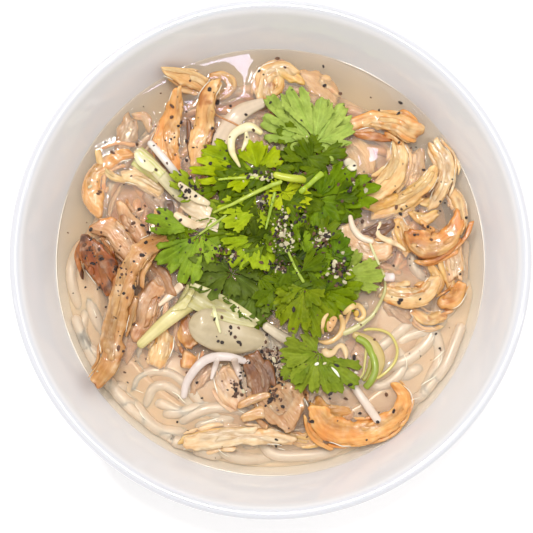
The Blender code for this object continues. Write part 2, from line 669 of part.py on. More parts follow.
def lay_leaf(name, ground):
    """A thin lobed leaf, laid like a sheet over what lies beneath, with its tips curling up."""
    hub, notch, curl, lobes = LEAVES[name]
    edge, inner = leaf_outline(hub, notch, lobes)
    flat = np.array(edge + inner + [hub], float)
    x, y = flat[:, 0], flat[:, 1]
    rim = len(edge)
    sheet = average(spread(np.maximum(ground, LEVEL), 4), 4)
    reach = np.hypot(x - hub[0], y - hub[1])
    lift = curl * (reach / reach.max()) ** 2 + 0.5 * np.sin(x * 0.5 + y * 0.7)
    lift[rim:] *= 0.4
    base = height_at(sheet, x, y) + GAP + np.maximum(lift, 0.0)
    n = len(flat)
    ring = [(k, (k + 1) % rim) for k in range(rim)]
    tops = triangles_inside(x, y, ring)
    faces = list(tops) + [(a + n, c + n, b + n) for a, b, c in tops]
    used = {(a, b) for t in tops for a, b in zip(t, (t[1], t[2], t[0]))}
    for a, b in used:
        if (b, a) not in used:
            faces.append((b, a, a + n))
            faces.append((b, a + n, b + n))

    def make(base):
        rows = [(x[k], y[k], base[k] + LEAF_THICK) for k in range(n)]
        return rows + [(x[k], y[k], base[k]) for k in range(n)], faces

    for _ in range(PASSES):
        verts, _unused = make(base)
        short = clearance(ground, verts, faces)
        if short.max() <= 0:
            break
        lift = np.zeros(n)
        for i, j in np.argwhere(short > 0):
            near = np.argsort(np.hypot(x - (i * CELL - HALF), y - (j * CELL - HALF)))[:3]
            lift[near] = np.maximum(lift[near], short[i, j])
        base = base + SHARE * lift
    base = base + max(0.0, clearance(ground, make(base)[0], faces).max())
    verts, faces = make(base)
    return verts, faces, None, base


def build_pieces(groups):
    """Lays every piece in order and returns the cutters of those that stand in the broth."""
    ground = ground_under_pieces()
    cutters = {}
    for name in LAYING_ORDER:
        if name in CHICKEN:
            verts, faces, cutter, base = lay_shred(name, ground)
            look = "chicken_browned" if name == "chicken_09" else "chicken_meat"
            add_object(name, verts, faces, groups["chicken"], look)
        elif name in STALKS:
            verts, faces, cutter, base = lay_stalk(name, ground)
            green = name.startswith(("stalk", "scallion", "stem"))
            add_object(name, verts, faces, groups["greens"], "green_stalk" if green else "onion")
        elif name == "onion_wedge":
            verts, faces, cutter, base = lay_wedge(ground)
            add_object(name, verts, faces, groups["greens"], "onion")
        else:
            verts, faces, cutter, base = lay_leaf(name, ground)
            add_object(name, verts, faces, groups["greens"], "coriander")
        if cutter is not None and min(base) < LEVEL + 2 * GAP:
            cutters[name] = cutter
        ground = stamp(ground, verts, faces)
    return cutters


def main():
    clear_scene()
    groups = {name: collection(name) for name in ("vessel", "soup", "chicken", "greens")}
    helpers = collection("helpers", hidden=True)
    build_bowl(groups["vessel"])
    build_noodles(groups["soup"], helpers)
    cutters = build_pieces(groups)
    build_broth(groups["soup"], helpers, cutters)


main()
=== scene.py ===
"""Looks of the chicken noodle soup (pho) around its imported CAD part.

Lengths in the tables and functions are millimetres, turned into metres when a mesh is made. Lamps, the camera
and what goes into a material are in metres. The waypoints of the shreds, stalks and leaves are the ones that
the solids were built from, and each piece takes its height and thickness from its own solid.
"""

import math

import bpy
import numpy as np
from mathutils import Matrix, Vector
from mathutils.bvhtree import BVHTree


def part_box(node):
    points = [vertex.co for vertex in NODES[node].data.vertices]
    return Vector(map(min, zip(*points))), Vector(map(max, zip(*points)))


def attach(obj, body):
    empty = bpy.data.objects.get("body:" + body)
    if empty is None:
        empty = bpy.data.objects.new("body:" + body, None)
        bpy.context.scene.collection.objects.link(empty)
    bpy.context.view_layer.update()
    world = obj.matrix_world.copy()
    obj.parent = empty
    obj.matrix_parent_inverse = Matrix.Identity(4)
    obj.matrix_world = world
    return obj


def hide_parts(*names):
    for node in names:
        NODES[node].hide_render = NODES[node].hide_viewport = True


MM = 0.001
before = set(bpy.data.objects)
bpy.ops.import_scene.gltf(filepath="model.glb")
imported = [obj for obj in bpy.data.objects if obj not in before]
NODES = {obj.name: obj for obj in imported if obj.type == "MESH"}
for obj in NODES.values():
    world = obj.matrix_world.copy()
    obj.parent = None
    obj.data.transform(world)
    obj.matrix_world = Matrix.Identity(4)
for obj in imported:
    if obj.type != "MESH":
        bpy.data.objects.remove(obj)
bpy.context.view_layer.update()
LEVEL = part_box("broth")[1][2] / MM

# The bowl, and the reach of the broth's surface.
RIM_RADIUS, RIM_HEIGHT = 105.0, 77.8
BOWL_SEGMENTS = 192
BROTH_RADIUS = 89.9
# Heights that leaves, curls, skins and pepper don't pass.
LEAF_CEILING, CURL_CEILING, SKIN_CEILING, PEPPER_CEILING = 77.2, 75.0, 75.5, 77.0
# In metres, as a modifier takes it.
LEAF_THICKNESS = 0.00028
# The low layer of lobes under the leaves: how many, and how far from its middle.
LOW_LOBES, LOW_REACH = 46, 21
# The heap of noodles: strands under those that show and how far out they go, core, inner edge of the skirt.
DEEP_STRANDS, DEEP_REACH = 95, 74.0
CORE_RADIUS, SKIRT_START = 76.0, 70.0
# Pepper that lies apart from the clusters.
LOOSE_SPECKS, LOOSE_REACH = 230, 86
# Distance between the stations of a line.
SHRED_STEP, STALK_STEP, SUNK_STEP, CURL_STEP, RING_STEP = 0.62, 0.6, 0.7, 0.45, 0.5
# The camera: millimetres of lens and sensor, degrees, metres. Then what the lamps point at, in metres.
LENS, SENSOR, CAMERA_ELEVATION, CAMERA_DISTANCE = 87.8, 36.0, 85.0, 0.520
BOWL_MIDDLE, BROTH_MIDDLE = (0, 0, 0.06), (0, 0, 0.056)

# ------------------------------------------------------------------ the plan, as in the solids

# Waypoints and widths of each shred.
CHICKEN = {
    "chicken_01": (((-44.5, 77.5), (-37.5, 76.5), (-30.7, 75), (-25.2, 71.6)), (3.5, 7, 7, 5)),
    "chicken_02": (((-38.5, 70), (-40, 63), (-43, 55), (-44, 47), (-41, 38)), (3.5, 7, 10.5, 12.5, 8)),
    "chicken_03": (((-22, 75), (-26.5, 67), (-28, 57), (-30, 48), (-31, 38)), (5, 7.5, 9, 9.5, 7)),
    "chicken_04": (((11, 78), (5, 80.5), (-1.5, 77), (-3, 68)), (4, 7, 10, 7)),
    "chicken_05": (((-57, 45), (-65, 43), (-73, 36.5), (-75, 28), (-70, 22)), (5, 6, 6.5, 8.5, 11)),
    "chicken_06": (((-63, 35), (-54.6, 34), (-45, 28)), (4, 6.5, 5)),
    "chicken_07": (((-73.5, 15), (-66, 12.6), (-61, 6), (-57, 0)), (7, 9, 9, 6)),
    "chicken_08": (((-62, 24), (-60, 17.6), (-56, 12), (-53, 5)), (4, 7, 9, 6)),
    "chicken_09": (((-73, 8), (-72, 2), (-69, -6), (-66, -15)), (7, 13, 11, 4.5)),
    "chicken_10": (((-44, 10), (-52, 3), (-58.5, -6), (-61.5, -18), (-65, -31), (-66, -42), (-71.5, -52)),
                   (6, 8.5, 9, 10, 10.5, 9, 6.5)),
    "chicken_11": (((-46, -10), (-50, -18), (-52.5, -26.5), (-56, -34)), (8, 11, 10, 5)),
    "chicken_12": (((-43, -29), (-45, -37), (-47.5, -45)), (7, 9, 6.5)),
    "chicken_13": (((-35.5, -24), (-34, -31), (-32, -37)), (5, 8.5, 6)),
    "chicken_14": (((-33, -38), (-34, -45)), (8, 6)),
    "chicken_15": (((-20, -45), (-17, -53), (-12, -60)), (8, 11, 7)),
    "chicken_16": (((-36, -76), (-27, -75), (-15, -73.5), (-2, -73), (10, -75)), (6, 8, 7.5, 7, 4)),
    "chicken_17": (((-2, -53), (4, -59), (11, -67)), (14, 19, 14)),
    "chicken_18": (((18, -60), (23, -68.5), (33.6, -72), (44, -70), (52, -64), (55.5, -57), (51, -51)),
                   (7, 11, 11, 9, 8, 6, 3.5)),
    "chicken_19": (((46, -13), (54.6, -16), (63, -15), (69, -7)), (6, 9, 8, 4)),
    "chicken_20": (((69.5, -19), (76.5, -16), (79.5, -10)), (5.5, 7, 4.5)),
    "chicken_21": (((59, -21), (65, -25), (72, -23)), (4, 5, 4.5)),
    "chicken_22": (((59, 12), (64, 6), (71, 7), (76, 12), (79, 18)), (8, 12, 9.5, 8, 6)),
    "chicken_23": (((53, 17), (56, 10), (59, 3)), (5, 7, 5.5)),
    "chicken_24": (((31.5, 56), (42, 59), (52, 57), (58, 53.5), (62.5, 52)), (6, 7.5, 8.5, 10, 7)),
    "chicken_25": (((53, 50), (54, 42), (50, 33.6), (40, 25)), (5, 8.5, 10, 8)),
    "chicken_26": (((68.5, 38), (64.7, 31), (54.6, 24), (42, 20)), (4, 6.5, 8, 7)),
    "chicken_27": (((69, 49), (73, 41), (72.5, 32), (67, 21)), (4.5, 7, 6, 5)),
    "chicken_28": (((75, 30), (79, 24), (80, 13)), (4.5, 5.5, 5)),
    "chicken_29": (((75.6, 5), (76.4, -1), (77, -8)), (6.5, 8.5, 7)),
    "chicken_30": (((30, 15), (34, 8), (43, 3.4), (50, 5)), (7, 11, 9, 4.5)),
}

# Waypoints and widths of each stalk.
STALKS = {
    "sprout_01": (((-51, 49.6), (-44.5, 42), (-37.4, 33)), (3.0, 3.4, 3.3)),
    "stalk_01": (((-56, 46), (-49, 38.5), (-38, 27), (-28, 20)), (3.4, 5.5, 5, 4.2)),
    "onion_01": (((-2, 66), (-12.6, 62), (-19, 53.5), (-23, 44)), (4, 7, 7.5, 5)),
    "stem_01": (((5, 50), (6.5, 42), (8, 33)), (2.8, 3.2, 3.0)),
    "stem_02": (((1, 35), (8, 33.4), (16, 33)), (2.8, 3.2, 3.4)),
    "stalk_02": (((-54.6, -36.5), (-43, -26), (-31.5, -17)), (3.6, 5.8, 7.0)),
    "sprout_02": (((-36, -58), (-34, -50), (-27, -42), (-18, -40.5), (-8, -43)), (2.6, 3.6, 3.8, 3.6, 2.6)),
    "sprout_03": (((-3, -27), (3.5, -31.5), (10, -35)), (3.6, 4.2, 3.8)),
    "sprout_04": (((34, -52), (39.5, -60), (44.5, -67.5)), (3.0, 3.5, 3.2)),
    "scallion_01": (((34, -31), (42, -35), (45, -43), (40, -53)), (3.0, 4.4, 4.6, 3.0)),
}

# Hub of each leaf, then the tip and half width of each lobe.
LEAVES = {
    "leaf_01": ((19, 49), ((35, 54, 6), (30, 66, 7), (20, 68, 5), (10, 73, 5), (-2, 67, 6),
                                 (-4, 57, 6), (8, 47, 5), (30, 44, 5))),
    "leaf_02": ((-5, 37), ((5, 33, 3), (2, 47, 6), (-8, 50, 6), (-29, 44, 6), (-33, 35, 5), (-18, 30, 4))),
    "leaf_03": ((20, 25), ((45, 31, 6), (35, 38, 6), (24, 36, 5), (17, 13, 5), (28, 14, 6), (38, 21, 7))),
    "leaf_04": ((5, 28), ((17, 24, 4), (13, 31, 3), (0, 32, 4), (0, 21, 4), (7, 18, 4), (13, 20, 4))),
    "leaf_05": ((-29, 11), ((-19, 15, 4), (-51, 18, 5), (-46, -3, 5), (-38, -10, 6), (-25, -2, 5),
                                  (-21, 5, 5))),
    "leaf_06": ((-30, 26), ((-33, 34, 3), (-41, 35, 4), (-38, 26, 3), (-17, 18, 4))),
    "leaf_07": ((-5, 21), ((2, 29, 3), (-12, 27, 4), (-22, 21, 5), (-19, 13, 5), (-8, 12, 5), (1, 15, 4))),
    "leaf_08": ((-5, 9), ((2, 15, 4), (-20, 6, 3), (-18, -2, 5), (-9, -2, 4), (-1, -5, 5), (1, 3, 3))),
    "leaf_09": ((-16, -6), ((-2, -2, 5), (-12, 4, 6), (-27, 3, 6), (-36, -5, 7), (-30, -13, 6),
                                  (-17, -17, 7), (-4, -14, 6))),
    "leaf_10": ((-6, -15), ((2, -21, 5), (-19, -18, 5), (-13, -24, 5), (-4, -27, 5))),
    "leaf_11": ((14, -12), ((2, -14, 5), (2, -24, 6), (9, -31, 6), (18, -33, 5), (24, -30, 5), (21, -19, 5))),
    "leaf_12": ((18, -12), ((22, -19, 4), (28, -23, 6), (35, -20, 6), (38, -13, 5))),
    "leaf_13": ((25, -7), ((37, -15, 5), (47, -8, 6), (38, 2, 6), (29, 3, 4))),
    "leaf_14": ((20, -39), ((13, -31, 5), (4, -40, 6), (4, -48, 6), (12, -55, 6), (23, -56, 6),
                                  (35, -53, 7), (27, -42, 4))),
    "leaf_15": ((15, 0), ((26, 1, 4), (19, 12, 4), (13, 18, 4), (7, 11, 4), (4, -4, 5), (24, -7, 4))),
    "leaf_16": ((26, 1), ((34, 4, 4), (30, 11, 4), (22, 10, 4), (31, -6, 4))),
}

# ------------------------------------------------------------------ numbers: noise, lines, colours


def lattice(ix, iy, iz, seed):
    """A repeatable value from 0 to 1 for each lattice point."""
    n = (ix * 374761393 + iy * 668265263 + iz * 2147483647 + seed * 1274126177) & 0xFFFFFFFF
    n = ((n ^ (n >> 13)) * 1274126177) & 0xFFFFFFFF
    n = ((n ^ (n >> 16)) * 2246822519) & 0xFFFFFFFF
    return ((n ^ (n >> 15)) & 0xFFFFFF) / float(0xFFFFFF)


def noise(points, size, seed=0):
    """Smooth noise from -1 to 1, whose lumps are about this size."""
    q = np.asarray(points, float) / size
    if q.ndim == 1:
        q = np.stack([q, np.zeros_like(q), np.zeros_like(q)], axis=1)
    if q.shape[1] == 2:
        q = np.concatenate([q, np.zeros((len(q), 1))], axis=1)
    i = np.floor(q).astype(np.int64)
    f = q - i
    f = f * f * (3 - 2 * f)
    out = np.zeros(len(q))
    for dx in (0, 1):
        for dy in (0, 1):
            for dz in (0, 1):
                w = (
                    (f[:, 0] if dx else 1 - f[:, 0])
                    * (f[:, 1] if dy else 1 - f[:, 1])
                    * (f[:, 2] if dz else 1 - f[:, 2])
                )
                out += w * lattice(i[:, 0] + dx, i[:, 1] + dy, i[:, 2] + dz, seed)
    return out * 2 - 1


def fbm(points, size, octaves=3, seed=0):
    """Noise with finer noise on top of it."""
    total = np.zeros(len(points))
    amount = 1.0
    norm = 0.0
    for k in range(octaves):
        total += amount * noise(points, size / 2**k, seed + 17 * k)
        norm += amount
        amount *= 0.55
    return total / norm


def over_plan(kind, x, y, *settings):
    """One of the two noises at each point of a grid in the plan."""
    return kind(np.stack([x.ravel(), y.ravel()], axis=1), *settings).reshape(x.shape)


def linear(*rgb):
    """A display colour from 0 to 255 as the linear colour that shaders use."""
    c = np.array(rgb, float) / 255
    return np.where(c <= 0.04045, c / 12.92, ((c + 0.055) / 1.055) ** 2.4)


def tones(values):
    """A row of a table of looks, with each display colour in it made linear."""
    return [linear(*value) if isinstance(value, tuple) else value for value in values]


def blend(a, b, t):
    """From a to b, with a share for each point."""
    t = np.clip(t, 0, 1)[:, None]
    return np.asarray(a) * (1 - t) + np.asarray(b) * t


def curve_through(rows, steps):
    """A Catmull-Rom curve through points, with this many steps from one point to the next."""
    rows = [2 * rows[0] - rows[1], *rows, 2 * rows[-1] - rows[-2]]
    fine = []
    for a, b, c, d in zip(rows, rows[1:], rows[2:], rows[3:]):
        for t in np.linspace(0, 1, steps, endpoint=False):
            fine.append(
                0.5 * (2 * b + (c - a) * t + (2 * a - 5 * b + 4 * c - d) * t**2 + (3 * b - a - 3 * c + d) * t**3)
            )
    return fine + [rows[-2]]


def smooth_line(points, widths, spacing):
    """A smooth line through the waypoints: stations x, y, width at this spacing, and the way to each."""
    fine = np.array(curve_through([np.array((*p, w), float) for p, w in zip(points, widths)], 16))
    run = np.concatenate([[0], np.cumsum(np.hypot(*np.diff(fine[:, :2], axis=0).T))])
    count = max(4, int(round(run[-1] / spacing)) + 1)
    at = np.linspace(0, run[-1], count)
    return np.stack([np.interp(at, run, fine[:, k]) for k in range(3)], axis=1), at


def values_at(stations, at, *columns):
    """Each column, known at the stations at, as it is at other stations."""
    return [np.interp(stations, at, column) for column in columns]


def headings(line):
    """Unit direction in the plan at each station of a line."""
    step = np.gradient(line[:, :2], axis=0)
    return step / np.maximum(np.hypot(step[:, 0], step[:, 1]), 1e-9)[:, None]


def smoothed(values, reach):
    """A running average that keeps the length."""
    if reach < 1:
        return values
    wide = np.pad(values, reach, mode="edge")
    window = np.hanning(2 * reach + 3)[1:-1]
    return np.convolve(wide, window / window.sum(), mode="valid")


# ------------------------------------------------------------------ meshes and materials


def grid_faces(rows, cols, close_cols=True):
    """Quads between rows of points, each row a ring if close_cols."""
    r = np.arange(rows - 1)[:, None]
    c = np.arange(cols if close_cols else cols - 1)[None, :]
    n = (c + 1) % cols
    return np.stack([r * cols + c, r * cols + n, (r + 1) * cols + n, (r + 1) * cols + c], axis=-1).reshape(-1, 4)


def make_mesh(name, verts, quads=None, tris=None, colours=None, material=None, smooth=True, flow=None):
    """An object from points in millimetres, with a colour for each point."""
    verts = np.asarray(verts, np.float64) * MM
    quads = np.zeros((0, 4), np.int64) if quads is None else np.asarray(quads, np.int64).reshape(-1, 4)
    tris = np.zeros((0, 3), np.int64) if tris is None else np.asarray(tris, np.int64).reshape(-1, 3)
    mesh = bpy.data.meshes.new(name)
    mesh.vertices.add(len(verts))
    mesh.vertices.foreach_set("co", verts.astype(np.float32).ravel())
    loops = np.concatenate([quads.ravel(), tris.ravel()]).astype(np.int32)
    mesh.loops.add(len(loops))
    mesh.loops.foreach_set("vertex_index", loops)
    starts = np.concatenate([np.arange(len(quads)) * 4, len(quads) * 4 + np.arange(len(tris)) * 3]).astype(np.int32)
    mesh.polygons.add(len(starts))
    mesh.polygons.foreach_set("loop_start", starts)
    mesh.polygons.foreach_set("use_smooth", np.full(len(starts), smooth))
    mesh.update(calc_edges=True)
    mesh.validate()
    if colours is not None:
        layer = mesh.color_attributes.new("col", "FLOAT_COLOR", "POINT")
        rgba = np.concatenate([np.clip(colours, 0, 1), np.ones((len(verts), 1))], axis=1)
        layer.data.foreach_set("color", rgba.astype(np.float32).ravel())
    if flow is not None:
        layer = mesh.attributes.new("flow", "FLOAT_VECTOR", "POINT")
        layer.data.foreach_set("vector", np.asarray(flow, np.float32).ravel())
    made = bpy.data.objects.new(name, mesh)
    bpy.context.scene.collection.objects.link(made)
    if material is not None:
        mesh.materials.append(material)
    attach(made, "root")
    return made


class Heap:
    """Collects several bodies into one mesh. flow runs along and across the fibres of a body, in millimetres."""

    def __init__(self):
        self.verts, self.quads, self.tris, self.colours, self.flows, self.count = [], [], [], [], [], 0

    def add(self, verts, quads=None, tris=None, colours=None, flow=None):
        if quads is not None and len(quads):
            self.quads.append(np.asarray(quads) + self.count)
        if tris is not None and len(tris):
            self.tris.append(np.asarray(tris) + self.count)
        self.verts.append(np.asarray(verts))
        self.colours.append(np.asarray(colours))
        self.flows.append(np.asarray(verts) if flow is None else flow)
        self.count += len(verts)

    def build(self, name, material, smooth=True):
        quads = np.concatenate(self.quads) if self.quads else None
        tris = np.concatenate(self.tris) if self.tris else None
        return make_mesh(
            name, np.concatenate(self.verts), quads, tris, np.concatenate(self.colours), material, smooth,
            np.concatenate(self.flows),
        )


def nodes_of(name):
    """A new material, its tree and its shader."""
    made = bpy.data.materials.new(name)
    made.use_nodes = True
    tree = made.node_tree
    return made, tree, tree.nodes["Principled BSDF"]


def set_inputs(node, **values):
    """Sets inputs by name, where an underscore stands for a space."""
    for key, value in values.items():
        node.inputs[key.replace("_", " ")].default_value = value


def add_node(tree, kind, **values):
    node = tree.nodes.new("ShaderNode" + kind)
    set_inputs(node, **values)
    return node


def link(tree, first, output, second, into):
    tree.links.new(first.outputs[output], second.inputs[into])


def add_bump(tree, shader, where, scale, strength, distance, detail):
    """Fine relief from noise, on the normal of the shader."""
    relief = add_node(tree, "TexNoise", Scale=scale, Detail=detail)
    lift = add_node(tree, "Bump", Strength=strength, Distance=distance)
    tree.links.new(where, relief.inputs["Vector"])
    link(tree, relief, "Fac", lift, "Height")
    link(tree, lift, "Normal", shader, "Normal")


def painted(name, rough=0.35, coat=0.0, speck=0.12, speck_size=900.0, bump=0.0, bump_size=900.0,
            specular=0.5, flow=False, tint=(1.0, 1.0, 1.0), soft=0.0, depth=0.003):
    """A material whose colour is the mesh's own, broken up by fine noise, with a fine bump.

    With flow, the noise runs along the fibres of each body, at this many streaks to the millimetre.
    """
    made, tree, shader = nodes_of(name)
    own = add_node(tree, "VertexColor")
    own.layer_name = "col"
    if flow:
        place = add_node(tree, "Attribute")
        place.attribute_name = "flow"
        where = place.outputs["Vector"]
    else:
        where = add_node(tree, "TexCoord").outputs["Object"]
    fine = add_node(tree, "TexNoise", Scale=speck_size, Detail=3.0)
    tree.links.new(where, fine.inputs["Vector"])
    span = add_node(tree, "MapRange", From_Min=0.25, From_Max=0.75, To_Min=1.0 - speck, To_Max=1.0 + speck)
    link(tree, fine, "Fac", span, "Value")
    # A power under 1 keeps more of that colour in the dark streaks, and one over 1 keeps less.
    powers = add_node(tree, "CombineXYZ")
    for k in range(3):
        raised = add_node(tree, "Math")
        raised.operation = "POWER"
        raised.inputs[1].default_value = tint[k]
        link(tree, span, "Result", raised, 0)
        link(tree, raised, "Value", powers, k)
    scale = add_node(tree, "VectorMath")
    scale.operation = "MULTIPLY"
    link(tree, own, "Color", scale, 0)
    link(tree, powers, "Vector", scale, 1)
    link(tree, scale, "Vector", shader, "Base Color")
    set_inputs(shader, Roughness=rough, Coat_Weight=coat, Coat_Roughness=0.08, Specular_IOR_Level=specular)
    set_inputs(shader, Subsurface_Weight=soft, Subsurface_Radius=(1.0, 0.92, 0.84), Subsurface_Scale=depth)
    if bump:
        add_bump(tree, shader, where, bump_size, bump, 0.0004, 2.0)
    return made


# ------------------------------------------------------------------ heights from the solids


def tree_of(obj):
    """A tree for rays, in metres, and the points of an object in millimetres."""
    mesh = obj.data
    verts = np.empty(len(mesh.vertices) * 3, np.float32)
    mesh.vertices.foreach_get("co", verts)
    verts = verts.reshape(-1, 3)
    return (
        BVHTree.FromPolygons([tuple(v) for v in verts.tolist()], [tuple(p.vertices) for p in mesh.polygons]),
        verts / MM
    )


def drop(tree, x, y, up=False):
    """Height at which a vertical line first meets a mesh, from above or, if up, from below, in mm, or None."""
    start = Vector((x * MM, y * MM, -0.1 if up else 0.2))
    hit = tree.ray_cast(start, Vector((0, 0, 1 if up else -1)))
    return None if hit[0] is None else hit[0].z / MM


def span_along(node, line):
    """Lowest and highest height of a node's solid along a line, filled in where the line leaves it."""
    tree, _ = tree_of(NODES[node])
    low = np.full(len(line), np.nan)
    high = np.full(len(line), np.nan)
    for i, (x, y, _w) in enumerate(line):
        a, b = drop(tree, x, y, up=True), drop(tree, x, y)
        if a is not None and b is not None:
            low[i], high[i] = a, b
    good = np.where(np.isfinite(low))[0]
    at = np.arange(len(line))
    return np.interp(at, good, low[good]), np.interp(at, good, high[good])


# ------------------------------------------------------------------ swept bodies with detail


def ring_shape(corners, squareness):
    """Angle of each corner of a ring, with its share of the width and of the height. Under 1 it is squarer."""
    turn = np.linspace(0, 2 * math.pi, corners, endpoint=False)
    cu = np.sign(np.cos(turn)) * np.abs(np.cos(turn)) ** squareness
    cv = np.sign(np.sin(turn)) * np.abs(np.sin(turn)) ** squareness
    return turn, cu, cv


def tube(line, along, centre_z, half_w, half_t, corners, squareness=1.0):
    """Points of rings round a line; returns rings as (stations, corners, 3) and the angle of each corner."""
    turn, cu, cv = ring_shape(corners, squareness)
    u = half_w[:, None] * cu[None, :]
    v = half_t[:, None] * cv[None, :]
    x = line[:, None, 0] - along[:, None, 1] * u
    y = line[:, None, 1] + along[:, None, 0] * u
    z = centre_z[:, None] + v
    return np.stack([x, y, z], axis=-1), turn


def capped(rings):
    """Quads and end fans of a stack of rings. Adds one point to each end."""
    rows, cols, _ = rings.shape
    verts = rings.reshape(-1, 3)
    quads = grid_faces(rows, cols)
    first, last = rings[0].mean(axis=0), rings[-1].mean(axis=0)
    verts = np.concatenate([verts, [first], [last]])
    k = np.arange(cols)
    n = (k + 1) % cols
    a, b = rows * cols, rows * cols + 1
    tris = np.concatenate([
        np.stack([n, k, np.full(cols, a)], axis=1),
        np.stack([(rows - 1) * cols + k, (rows - 1) * cols + n, np.full(cols, b)], axis=1),
    ])
    return verts, quads, tris


def with_ends(values):
    """Values for the points of the rings, with those for the two points that capped adds."""
    return np.concatenate([values, values[:1], values[-1:]])


def end_taper(at, total, first, second):
    """Falls to nothing over the first and last few millimetres, as a rounded end does."""
    a = np.clip(at / first, 0, 1)
    b = np.clip((total - at) / second, 0, 1)
    return np.sqrt(np.clip(1 - (1 - a) ** 2, 0.0016, 1)) * np.sqrt(np.clip(1 - (1 - b) ** 2, 0.0016, 1))


GOLD, GOLD_LIGHT, ORANGE = linear(232, 176, 106), linear(242, 202, 144), linear(230, 148, 68)
BROWN, PALE, PINK_TAN = linear(176, 108, 50), linear(240, 206, 160), linear(230, 182, 134)
GREY_BROWN, CARAMEL, DARK = linear(200, 146, 100), linear(158, 84, 38), linear(66, 30, 14)
YELLOW = linear(238, 186, 104)

# Each shred: main colour, second colour, colour of browned patches, how much of it is browned, fibrousness.
SHRED_LOOKS = {
    "chicken_01": (GOLD_LIGHT, GOLD, ORANGE, 0.20, 0.5),
    "chicken_02": ((244, 182, 112), (246, 172, 96), ORANGE, 0.30, 0.7),
    "chicken_03": (GOLD, GOLD_LIGHT, BROWN, 0.30, 1.0), "chicken_04": (GOLD, GOLD_LIGHT, BROWN, 0.34, 1.0),
    "chicken_05": ((216, 154, 86), (232, 178, 110), ORANGE, 0.26, 0.5),
    "chicken_06": (GOLD_LIGHT, PALE, ORANGE, 0.15, 0.7), "chicken_07": (GREY_BROWN, PINK_TAN, ORANGE, 0.35, 0.8),
    "chicken_08": (PINK_TAN, GREY_BROWN, BROWN, 0.25, 0.7), "chicken_09": (CARAMEL, BROWN, DARK, 0.45, 0.6),
    "chicken_10": ((200, 146, 88), (214, 164, 104), BROWN, 0.14, 0.6),
    "chicken_11": (PINK_TAN, GREY_BROWN, BROWN, 0.25, 0.8), "chicken_12": (GOLD_LIGHT, GOLD, ORANGE, 0.25, 0.7),
    "chicken_13": (GREY_BROWN, GOLD, BROWN, 0.45, 0.7), "chicken_14": (GOLD, ORANGE, BROWN, 0.30, 0.6),
    "chicken_15": ((238, 200, 166), PINK_TAN, BROWN, 0.10, 0.8),
    "chicken_16": ((236, 200, 156), PALE, GOLD, 0.10, 0.6),
    "chicken_17": ((196, 148, 102), (206, 162, 116), GOLD, 0.05, 0.9),
    "chicken_18": ((240, 182, 108), (236, 162, 84), ORANGE, 0.34, 0.9),
    "chicken_19": (GOLD_LIGHT, GOLD, ORANGE, 0.30, 0.8), "chicken_20": (GOLD, ORANGE, BROWN, 0.25, 0.8),
    "chicken_21": (GOLD, GOLD_LIGHT, BROWN, 0.20, 0.8), "chicken_22": (GOLD * 0.94, ORANGE, BROWN, 0.34, 0.7),
    "chicken_23": (YELLOW, GOLD, ORANGE, 0.30, 0.7), "chicken_24": (GOLD_LIGHT, GOLD, ORANGE, 0.42, 1.0),
    "chicken_25": ((238, 196, 132), GOLD_LIGHT, GOLD, 0.20, 0.5),
    "chicken_26": (GOLD_LIGHT, YELLOW, GOLD, 0.20, 0.8), "chicken_27": (PALE, GOLD_LIGHT, GOLD, 0.20, 1.0),
    "chicken_28": (GOLD_LIGHT, GOLD, ORANGE, 0.25, 0.9), "chicken_29": (PALE, PINK_TAN, GOLD, 0.15, 0.6),
    "chicken_30": (PALE, PINK_TAN, GOLD, 0.10, 0.5),
}


